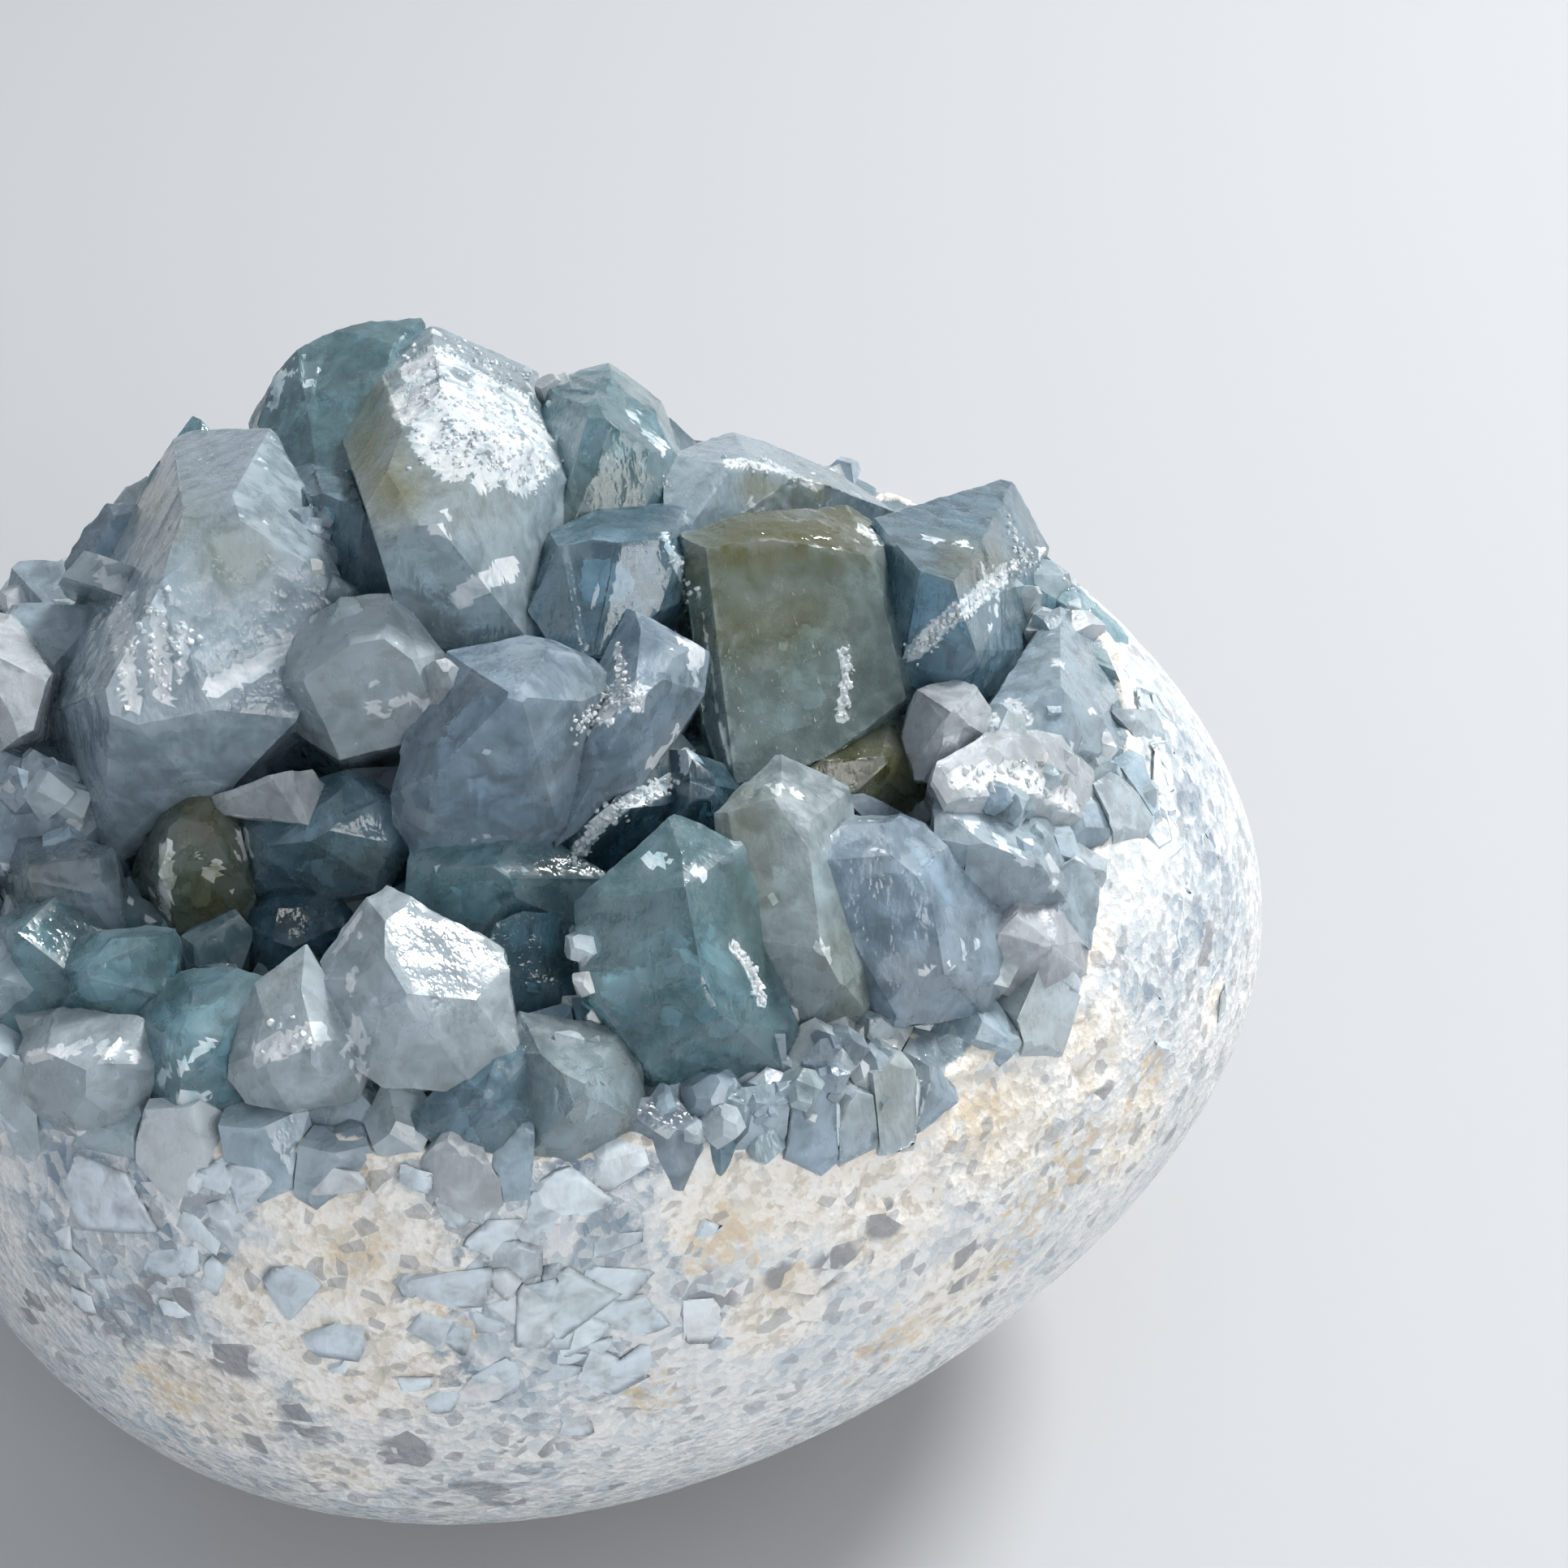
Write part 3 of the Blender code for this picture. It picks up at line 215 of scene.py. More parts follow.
class View:
    """A square picture plane with perspective, looking at the egg's middle."""

    def __init__(self, turn, rise):
        a, e = math.radians(turn), math.radians(rise)
        self.back = np.array([math.sin(a) * math.cos(e), -math.cos(a) * math.cos(e), math.sin(e)])
        self.right = np.cross(-self.back, [0, 0, 1.0])
        self.right /= np.linalg.norm(self.right)
        self.up = np.cross(self.right, -self.back)
        self.eye = CENTRE + self.back * VIEW_AWAY
        self.focal = VIEW_SIDE / 2 / math.tan(math.radians(VIEW_FIELD / 2))

    def ray(self, u, v):
        d = -self.back * self.focal + self.right * (u - VIEW_U) - self.up * (v - VIEW_V)
        return d / np.linalg.norm(d)

    def spot(self, u, v, level):
        """Where the line of sight through (u, v) first meets the shell of that reach, or comes nearest to it."""
        d = self.ray(u, v)
        low, high = VIEW_AWAY - 90, VIEW_AWAY + 90
        for _ in range(60):
            a, b = low + (high - low) / 3, high - (high - low) / 3
            if shell(self.eye + d * a) < shell(self.eye + d * b):
                high = b
            else:
                low = a
        mid = (low + high) / 2
        if shell(self.eye + d * mid) >= level:
            return self.eye + d * mid
        low, high = VIEW_AWAY - 90, mid
        for _ in range(50):
            m = (low + high) / 2
            if shell(self.eye + d * m) > level:
                low = m
            else:
                high = m
        return self.eye + d * high

    def picture(self, p):
        q = p - self.eye
        depth = q @ -self.back
        return np.array([VIEW_U + self.focal * (q @ self.right) / depth, VIEW_V - self.focal * (q @ self.up) / depth])


view = View(VIEW_TURN, VIEW_RISE)


def corners(planes):
    """Corners of the space inside all the planes. Each plane is a normal and how far along it the space ends."""
    n, d = planes[:, :3], planes[:, 3]
    trio = np.array(list(combinations(range(len(planes)), 3)))
    a = n[trio]
    meet = np.abs(np.linalg.det(a)) > 1e-4
    p = np.linalg.solve(a[meet], d[trio][meet][..., None])[..., 0]
    found = []
    for q in p[(p @ n.T - d <= 1e-6).all(axis=1)]:
        if all(np.linalg.norm(q - k) > 0.05 for k in found):
            found.append(q)
    return np.array(found).reshape(-1, 3)


def body(c):
    if c.get("counted") != len(c["planes"]):
        c["corners"], c["counted"] = corners(c["planes"]), len(c["planes"])
    return c["corners"]


def plane_through(a, b, c, inside):
    n = np.cross(b - a, c - a)
    n /= np.linalg.norm(n)
    if n @ (inside - a) > 0:
        n = -n
    return np.append(n, n @ a)


def enclose(planes, heart, w, points):
    """Six planes along the crystal and one over its tip, which it never grows past."""
    reach = max(np.linalg.norm(np.cross(q - heart, w)) for q in points) * 1.12 + 0.3
    e1 = np.cross(w, [1.0, 0, 0])
    e1 /= np.linalg.norm(e1)
    e2 = np.cross(w, e1)
    for k in range(6):
        n = e1 * math.cos(k * math.pi / 3) + e2 * math.sin(k * math.pi / 3)
        planes.append(np.append(n, n @ heart + reach))
    planes.append(np.append(w, w @ heart + max((q - heart) @ w for q in points) + 4.0))


def foot_of(heart, w):
    s = heart.copy()
    while s[2] > bed(s[0], s[1]):
        s = s - w * 0.2
    n = bed_normal(s[0], s[1])
    return s, np.append(-n, -n @ (s + n * BED_GAP))


def seen_crystal(outline, reach, peaks):
    """A crystal from its outline in the measuring view: a side face down from each edge, and a roof face up from it."""
    top, bottom = min(o[1] for o in outline), max(o[1] for o in outline)
    rims = [view.spot(u, v, reach[0] + (reach[1] - reach[0]) * (v - top) / (bottom - top)) for u, v in outline]
    tips = [view.spot(*p) for p in peaks]
    mid = np.mean(rims + tips, axis=0)
    w = mid - fan_point
    w /= np.linalg.norm(w)
    heart = mid - w * 3.0
    planes = []
    for i, a in enumerate(rims):
        b = rims[(i + 1) % len(rims)]
        m = (a + b) / 2
        side = plane_through(a, b, m - w * 10, heart)
        if side[:3] @ view.back > 0:
            g = view.ray(*view.picture(m)) * UNDERCUT - w * (1 - UNDERCUT)
            side = plane_through(a, b, m + g * 10, heart)
        planes.append(side)
        if tips:
            roofs = [plane_through(a, b, t, heart - w * 20) for t in tips]
            planes.append(min(roofs, key=lambda f: round(max(f[:3] @ q - f[3] for q in tips + rims), 1)))
    if not tips:
        c = np.mean(rims, axis=0)
        n = np.linalg.svd(np.array(rims) - c)[2][2]
        n = n if n @ w > 0 else -n
        planes.append(np.append(n, n @ c + 0.3 * max((np.array(rims) - c) @ n)))
    root, foot = foot_of(heart, w)
    own = len(planes)
    planes.append(foot)
    enclose(planes, heart, w, rims)
    u, v = np.array(outline, float).T
    area = abs(np.sum(u * np.roll(v, -1) - v * np.roll(u, -1))) / 2
    return dict(planes=np.array(planes), shown=np.array(rims + tips), flat=np.array([view.picture(q) for q in rims + tips]), w=w, heart=heart, root=root, foot=own, rank=2.0 + area / 15000)


def block(turn, tilt, level, wide, deep, twist, slopes):
    """A blocky prism with cut corners and a roof of four slopes, its tip at this turn and tilt from the vertical."""
    a, t = math.radians(turn), math.radians(tilt)
    tip = out_to_shell(np.array([math.sin(t) * math.cos(a), math.sin(t) * math.sin(a), math.cos(t)]), level)
    w = tip - fan_point
    w /= np.linalg.norm(w)
    e1 = np.cross([0, 0, 1.0], w)
    e1 /= np.linalg.norm(e1)
    e2 = np.cross(w, e1)
    c, s = math.cos(math.radians(twist)), math.sin(math.radians(twist))
    e1, e2 = e1 * c + e2 * s, e2 * c - e1 * s
    planes = [np.append(n, n @ tip + r) for n, r in ((e1, wide), (-e1, wide), (e2, deep), (-e2, deep))]
    for n in (e1 + e2, e1 - e2, -e1 + e2, -e1 - e2):
        n = n / np.linalg.norm(n)
        planes.append(np.append(n, n @ tip + (wide + deep) * 0.61))
    for n, slope in zip((e1, -e1, e2, -e2), slopes):
        n = w * math.cos(math.radians(slope)) + n * math.sin(math.radians(slope))
        planes.append(np.append(n, n @ tip))
    root, foot = foot_of(tip - w * 2, w)
    own = len(planes)
    planes.append(foot)
    enclose(planes, tip - w * 5, w, [tip + e1 * wide, tip - e1 * wide, tip + e2 * deep])
    return dict(planes=np.array(planes), shown=np.array([tip]), w=w, heart=tip - w * 5, root=root, foot=own, rank=1.0)


# How each kind of celestite looks: body colour, how see-through, roughness, absorption colour and density
LOOKS = {
    "pale": ((0.78, 0.92, 1.0), 0.52, 0.05, (0.52, 0.83, 0.97), 12.0),
    "lilac": ((0.50, 0.69, 0.86), 0.60, 0.07, (0.34, 0.58, 0.88), 26.0),
    "deep": ((0.36, 0.63, 0.80), 0.76, 0.05, (0.14, 0.56, 0.76), 38.0),
    "olive": ((0.50, 0.68, 0.68), 0.74, 0.05, (0.26, 0.62, 0.62), 32.0),
    "milky": ((0.54, 0.71, 0.83), 0.54, 0.09, (0.42, 0.70, 0.88), 20.0),
    "crust": ((0.56, 0.73, 0.82), 0.56, 0.09, (0.44, 0.72, 0.84), 20.0),
    "teal": ((0.35, 0.65, 0.75), 0.76, 0.05, (0.14, 0.58, 0.70), 36.0),
    "olive_pale": ((0.62, 0.77, 0.81), 0.60, 0.08, (0.42, 0.70, 0.74), 22.0),
    "pale_teal": ((0.66, 0.85, 0.93), 0.68, 0.05, (0.40, 0.74, 0.86), 20.0),
    "smoky": ((0.48, 0.63, 0.76), 0.72, 0.05, (0.34, 0.56, 0.70), 30.0),
    "white": ((0.86, 0.94, 0.99), 0.44, 0.10, (0.70, 0.88, 0.97), 8.0),
    "rose": ((0.82, 0.88, 0.96), 0.48, 0.14, (0.66, 0.76, 0.88), 12.0),
    # navy, the darkest kind: a deep blue of its own, darkened further as painted shade for crystals set deep in the
    # valley
    "navy": ((0.18, 0.42, 0.56), 0.84, 0.04, (0.06, 0.46, 0.62), 55.0),
    "amber": ((0.36, 0.46, 0.40), 0.80, 0.04, (0.40, 0.56, 0.40), 44.0),
}

# White crust and etched veils: along these lines of the measuring view, with a half width, a strength and grains
CRUSTS = {
    "crown_top": [([(510, 450), (560, 432), (610, 445), (650, 490), (672, 560), (640, 590)], 26, 1.0, 150), ([(505, 500), (560, 490), (600, 530), (560, 570), (530, 540)], 32, 1.0, 160), ([(600, 470), (625, 540), (600, 590)], 26, 0.9, 90), ([(570, 735), (600, 715), (626, 700)], 20, 0.9, 0)],
    "giant_left": [([(150, 740), (152, 800), (160, 870)], 20, 0.8, 40), ([(190, 730), (196, 800), (200, 860)], 18, 0.8, 40), ([(225, 770), (228, 830)], 14, 0.7, 20), ([(262, 845), (300, 828), (352, 806)], 20, 0.9, 0), ([(240, 560), (320, 560), (365, 640), (390, 720)], 34, 0.45, 20), ([(180, 640), (250, 620), (320, 700)], 60, 0.4, 20)],
    "roof_back": [([(1124, 806), (1160, 770), (1200, 740), (1240, 705), (1272, 690)], 14, 1.0, 170), ([(1240, 640), (1262, 690)], 8, 0.8, 30)],
    "lilac_slab": [([(762, 800), (766, 850), (790, 870)], 8, 0.9, 60), ([(712, 898), (745, 870), (785, 852)], 18, 1.0, 90), ([(780, 880), (830, 800)], 12, 0.5, 20)],
    "navy_blade": [([(706, 1058), (740, 1012), (780, 985), (826, 962)], 12, 1.0, 130)],
    "centre_twin": [([(600, 930), (640, 945), (690, 960)], 24, 0.5, 20), ([(505, 1000), (560, 1030), (640, 1030)], 16, 0.5, 10), ([(560, 870), (620, 800), (700, 800)], 12, 0.4, 10)],
    "olive_block": [([(1040, 800), (1043, 845), (1036, 885)], 8, 0.9, 40), ([(1060, 650), (1085, 668)], 6, 1.0, 12), ([(860, 720), (885, 880), (900, 940)], 7, 0.6, 10)],
    "striated_blue": [([(820, 660), (845, 720), (850, 745)], 9, 0.8, 20), ([(690, 690), (760, 660), (830, 650)], 12, 0.4, 6)],
    "wedge_centre": [([(905, 1165), (925, 1200), (940, 1235)], 7, 1.0, 60), ([(800, 1140), (850, 1110), (880, 1060)], 14, 0.4, 10), ([(740, 1150), (790, 1230), (800, 1290)], 20, 0.35, 10)],
    "pale_right": [([(1060, 1030), (1100, 1060), (1130, 1040)], 30, 0.5, 0), ([(1120, 1200), (1180, 1190), (1210, 1140)], 36, 0.5, 20)],
    "grey_green": [([(930, 1010), (960, 1060), (950, 1120)], 20, 0.5, 20), ([(1010, 1200), (1050, 1180)], 24, 0.5, 10)],
    "rhomb_left": [([(380, 850), (430, 780), (500, 800)], 40, 0.45, 10), ([(480, 860), (540, 870)], 18, 0.6, 10)],
    "valley_mass": [([(530, 1070), (620, 1060), (700, 1090)], 14, 0.5, 20)],
    "grey_right": [([(1230, 900), (1245, 870), (1262, 885)], 14, 1.0, 20), ([(1290, 800), (1340, 870), (1380, 920)], 20, 0.5, 40)],
    "lilac_right": [([(1180, 1010), (1240, 1040), (1300, 1090)], 24, 0.5, 30)],
    "plate_right": [([(1180, 960), (1250, 950), (1320, 990)], 22, 0.8, 60)],
    "left_dark_block": [([(60, 1060), (120, 1090)], 14, 0.5, 10)],
    "round_front": [([(405, 1215), (425, 1190), (460, 1170)], 14, 0.5, 10), ([(440, 1290), (520, 1260), (600, 1270)], 26, 0.4, 0)],
    "sparkle_front": [([(200, 1330), (240, 1300), (280, 1240)], 20, 0.6, 40)],
    "split_front": [([(40, 1300), (110, 1290), (165, 1300)], 20, 0.6, 0)],
    "milky_front": [([(320, 1300), (390, 1270)], 30, 0.7, 10)],
    "back_right_far": [([(895, 570), (950, 575), (1010, 600)], 10, 0.7, 30)],
    "olive_left": [([(205, 1040), (204, 1110)], 12, 0.9, 0)],
}

# Olive stain inside the crystals: the same, with a half width and a strength
STAINS = {
    "crown_top": [([(444, 500), (458, 560), (486, 600)], 44, 1.0), ([(500, 590), (600, 620)], 40, 0.35)],
    "olive_block": [([(880, 690), (960, 665), (1030, 660)], 60, 1.0), ([(900, 770), (1000, 760)], 60, 0.7)],
    "back_right_far": [([(930, 600), (1010, 610)], 24, 0.7)],
    "roof_back": [([(1180, 690), (1220, 700)], 30, 0.8)],
    "olive_left": [([(250, 1000), (262, 1120)], 40, 1.0)],
    "giant_left": [([(180, 620), (290, 690)], 50, 0.5)],
    "round_back": [([(700, 620), (760, 600)], 40, 0.4)],
    "grey_green": [([(920, 1000), (930, 1090)], 40, 0.5), ([(1030, 1160), (1050, 1230)], 30, 0.4)],
    "valley_deep": [([(400, 1060), (460, 1060)], 30, 0.5)],
    "left_dark_block": [([(30, 1080), (60, 1150)], 40, 0.4)],
    "wedge_centre": [([(900, 1090), (930, 1180)], 30, 0.3)],
    "amber_pocket": [([(1020, 940), (1100, 940)], 60, 1.0)],
}

# Patches on the ground outside, by a point of the measuring view and a radius there
CREAM = [(400, 1480, 80), (450, 1570, 110), (340, 1610, 80), (250, 1730, 100), (450, 1690, 100), (1150, 1330, 100), (1000, 1430, 110), (900, 1480, 80), (1100, 1490, 90), (1250, 1400, 90), (1350, 1300, 70), (1400, 1400, 80), (1345, 1150, 50), (1340, 1060, 45), (1180, 1600, 90), (960, 1620, 70), (1500, 1240, 40), (420, 1820, 60)]
OCHRE = [(1130, 1325, 50), (1060, 1370, 45), (1220, 1375, 50), (1330, 1430, 50), (900, 1530, 40), (965, 1590, 24), (425, 1450, 26), (440, 1545, 30), (210, 1720, 40), (800, 1725, 36), (1290, 1480, 50), (1420, 1330, 36), (1240, 1560, 36), (1100, 1660, 40), (560, 1640, 26), (1340, 1180, 26)]
BLUE = [(200, 1450, 120), (90, 1430, 90), (650, 1480, 110), (620, 1600, 120), (560, 1700, 80), (790, 1470, 80), (160, 1600, 70), (90, 1550, 60), (1470, 950, 110), (1500, 1100, 90), (1400, 880, 80), (1440, 1220, 60), (700, 1650, 80), (860, 1600, 60), (320, 1420, 50)]
DARK = [(855, 1610, 34), (1020, 1565, 26), (1098, 1505, 22), (290, 1680, 26), (350, 1745, 30), (500, 1790, 30), (640, 1790, 24), (1490, 1165, 38), (210, 1600, 26), (130, 1640, 30), (760, 1580, 26), (30, 1600, 30), (550, 1852, 16)]


def hashed(i, j, k, seed):
    h = (i * 374761393 + j * 668265263 + k * 1440662683 + seed * 1274126177) & 0xFFFFFFFF
    h = ((h ^ (h >> 13)) * 1274126177) & 0xFFFFFFFF
    return ((h ^ (h >> 16)) & 0xFFFF) / 65535.0


def field(p, size, seed=0, octaves=1):
    """Smooth values from 0 to 1 that change over about that length."""
    out, weight, share = 0.0, 0.0, 1.0
    for o in range(octaves):
        q = np.asarray(p) / size * 2**o + 731.0
        i = np.floor(q).astype(np.int64)
        f = q - i
        f = f * f * (3 - 2 * f)
        v = 0.0
        for dx in (0, 1):
            for dy in (0, 1):
                for dz in (0, 1):
                    w = (f[..., 0] if dx else 1 - f[..., 0]) * (f[..., 1] if dy else 1 - f[..., 1]) * (f[..., 2] if dz else 1 - f[..., 2])
                    v = v + w * hashed(i[..., 0] + dx, i[..., 1] + dy, i[..., 2] + dz, seed + 17 * o)
        out, weight, share = out + v * share, weight + share, share * 0.5
    return out / weight


def step(x, low, high):
    t = np.clip((x - low) / (high - low), 0, 1)
    return t * t * (3 - 2 * t)


def near_line(uv, line, wide):
    """1 on a line of the measuring view, falling off over its half width."""
    best = np.full(len(uv), 1e9)
    line = np.array(line, float)
    for a, b in zip(line[:-1], line[1:]):
        t = np.clip(((uv - a) @ (b - a)) / max((b - a) @ (b - a), 1e-9), 0, 1)
        best = np.minimum(best, np.linalg.norm(uv - a - t[:, None] * (b - a), axis=1))
    return np.exp(-((best / wide) ** 2))


def pictured(p):
    q = p - view.eye
    depth = q @ -view.back
    return np.stack([VIEW_U + view.focal * (q @ view.right) / depth, VIEW_V - view.focal * (q @ view.up) / depth], axis=-1)


# Meshes ------------------------------------------------------------------------------------------

def hull_of(points):
    """Corners and flat faces of the hull."""
    bm = bmesh.new()
    for q in points:
        bm.verts.new(q)
    hull = bmesh.ops.convex_hull(bm, input=bm.verts)
    spare = {g for g in hull["geom_interior"] + hull["geom_unused"] if isinstance(g, bmesh.types.BMVert)}
    bmesh.ops.delete(bm, geom=list(spare), context="VERTS")
    bmesh.ops.dissolve_limit(bm, angle_limit=math.radians(0.4), verts=bm.verts, edges=bm.edges)
    bmesh.ops.recalc_face_normals(bm, faces=bm.faces)
    bm.verts.index_update()
    p = np.array([v.co for v in bm.verts])
    faces = [[v.index for v in f.verts] for f in bm.faces]
    bm.free()
    return p, faces


def fanned(p, faces):
    """Triangles from the middle of each face, with the face each belongs to."""
    p, triangles, owner = list(p), [], []
    for k, f in enumerate(faces):
        if len(f) == 3:
            triangles.append(f)
            owner.append(k)
            continue
        p.append(np.mean([p[i] for i in f], axis=0))
        for a, b in zip(f, f[1:] + f[:1]):
            triangles.append([a, b, len(p) - 1])
            owner.append(k)
    return np.array(p), np.array(triangles), np.array(owner)


def refine(p, faces, owner, size):
    """Splits every edge longer than the size."""
    for _ in range(10):
        ends = np.sort(np.stack([faces, np.roll(faces, -1, axis=1)], axis=2), axis=2)
        edges, which = np.unique(ends.reshape(-1, 2), axis=0, return_inverse=True)
        which = which.reshape(-1, 3)
        far = np.linalg.norm(p[edges[:, 0]] - p[edges[:, 1]], axis=1) > size
        if not far.any():
            break
        middle = np.full(len(edges), -1)
        middle[far] = len(p) + np.arange(far.sum())
        p = np.vstack([p, p[edges[far]].mean(axis=1)])
        m = middle[which]
        count = (m >= 0).sum(axis=1)
        turn = np.where(count == 1, np.argmax(m >= 0, axis=1), np.where(count == 2, np.argmax(m < 0, axis=1), 0))
        order = (np.arange(3)[None, :] + turn[:, None]) % 3
        f, m = np.take_along_axis(faces, order, 1), np.take_along_axis(m, order, 1)
        parts, owners = [f[count == 0]], [owner[count == 0]]
        for number, pieces in ((1, ("a0c", "0bc")), (2, ("ab1", "a12", "1c2")), (3, ("a02", "0b1", "1c2", "012"))):
            here = count == number
            named = {"a": f[here, 0], "b": f[here, 1], "c": f[here, 2], "0": m[here, 0], "1": m[here, 1], "2": m[here, 2]}
            for letters in pieces:
                parts.append(np.stack([named[c] for c in letters], axis=1))
                owners.append(owner[here])
        faces, owner = np.vstack(parts), np.concatenate(owners)
    return p, faces, owner


def between_owners(mesh, faces, owner, count):
    """Which edges lie between two faces of different owners."""
    pairs = np.sort(np.stack([faces, np.roll(faces, -1, axis=1)], axis=2).reshape(-1, 2), axis=1)
    keys = pairs[:, 0].astype(np.int64) * count + pairs[:, 1]
    order = np.argsort(keys, kind="stable")
    keys, who = keys[order], np.repeat(owner, 3)[order]
    split = keys[1:][(keys[1:] == keys[:-1]) & (who[1:] != who[:-1])]
    ends = np.empty(len(mesh.edges) * 2, np.int32)
    mesh.edges.foreach_get("vertices", ends)
    ends = np.sort(ends.reshape(-1, 2), axis=1)
    return np.isin(ends[:, 0].astype(np.int64) * count + ends[:, 1], split)


def mesh_object(name, p, faces, materials, slots=None, smooth=True, sharp=32, attributes=None, owner=None, facets=None):
    mesh = bpy.data.meshes.new(name)
    mesh.vertices.add(len(p))
    mesh.vertices.foreach_set("co", (np.asarray(p) * MM).astype(np.float32).ravel())
    mesh.loops.add(faces.size)
    mesh.loops.foreach_set("vertex_index", faces.astype(np.int32).ravel())
    mesh.polygons.add(len(faces))
    mesh.polygons.foreach_set("loop_start", np.arange(0, faces.size, 3, dtype=np.int32))
    for m in materials:
        mesh.materials.append(m)
    if slots is not None:
        mesh.polygons.foreach_set("material_index", slots.astype(np.int32))
    mesh.update(calc_edges=True)
    mesh.validate()
    if facets is not None:
        mesh.attributes.new("facet", "FLOAT", "FACE").data.foreach_set("value", facets.astype(np.float32))
    for key, values in (attributes or {}).items():
        mesh.attributes.new(key, "FLOAT", "POINT").data.foreach_set("value", values.astype(np.float32))
    mesh.polygons.foreach_set("use_smooth", np.full(len(mesh.polygons), smooth))
    if smooth and sharp:
        mesh.set_sharp_from_angle(angle=math.radians(sharp))
    if owner is not None:
        sharp_edges = np.zeros(len(mesh.edges), bool)
        mesh.edges.foreach_get("use_edge_sharp", sharp_edges)
        mesh.edges.foreach_set("use_edge_sharp", sharp_edges | between_owners(mesh, faces, owner, len(p)))
    made = bpy.data.objects.new(name, mesh)
    bpy.context.scene.collection.objects.link(made)
    return made


# Materials ---------------------------------------------------------------------------------------

def add(tree, kind, inputs=None, **settings):
    made = tree.nodes.new(kind)
    for key, value in settings.items():
        setattr(made, key, value)
    for key, value in (inputs or {}).items():
        if isinstance(value, bpy.types.NodeSocket):
            tree.links.new(value, made.inputs[key])
        else:
            made.inputs[key].default_value = value
    return made


def mapped(tree, value, low, high, to_low=0.0, to_high=1.0):
    made = add(tree, "ShaderNodeMapRange", {0: value, 1: low, 2: high, 3: to_low, 4: to_high}, interpolation_type="SMOOTHSTEP")
    return made.outputs[0]


def maths(tree, what, a, b=0.0, clamp=False):
    return add(tree, "ShaderNodeMath", {0: a, 1: b}, operation=what, use_clamp=clamp).outputs[0]


def blend(tree, share, a, b, mode="MIX"):
    made = add(tree, "ShaderNodeMix", data_type="RGBA", blend_type=mode, clamp_factor=True)
    for socket, value in ((made.inputs["Factor"], share), (made.inputs[6], a), (made.inputs[7], b)):
        if isinstance(value, bpy.types.NodeSocket):
            tree.links.new(value, socket)
        else:
            socket.default_value = (*value, 1.0) if isinstance(value, tuple) and len(value) == 3 else value
    return made.outputs[2]


def noise(tree, at, scale, detail=3.0, rough=0.6, twist=0.0):
    return add(tree, "ShaderNodeTexNoise", {"Vector": at, "Scale": scale, "Detail": detail, "Roughness": rough, "Distortion": twist}).outputs[0]


def attribute(tree, name):
    return add(tree, "ShaderNodeAttribute", attribute_name=name).outputs["Fac"]


def new_material(name):
    made = bpy.data.materials.new(name)
    made.use_nodes = True
    tree = made.node_tree
    return made, tree, tree.nodes["Principled BSDF"], tree.nodes["Material Output"]


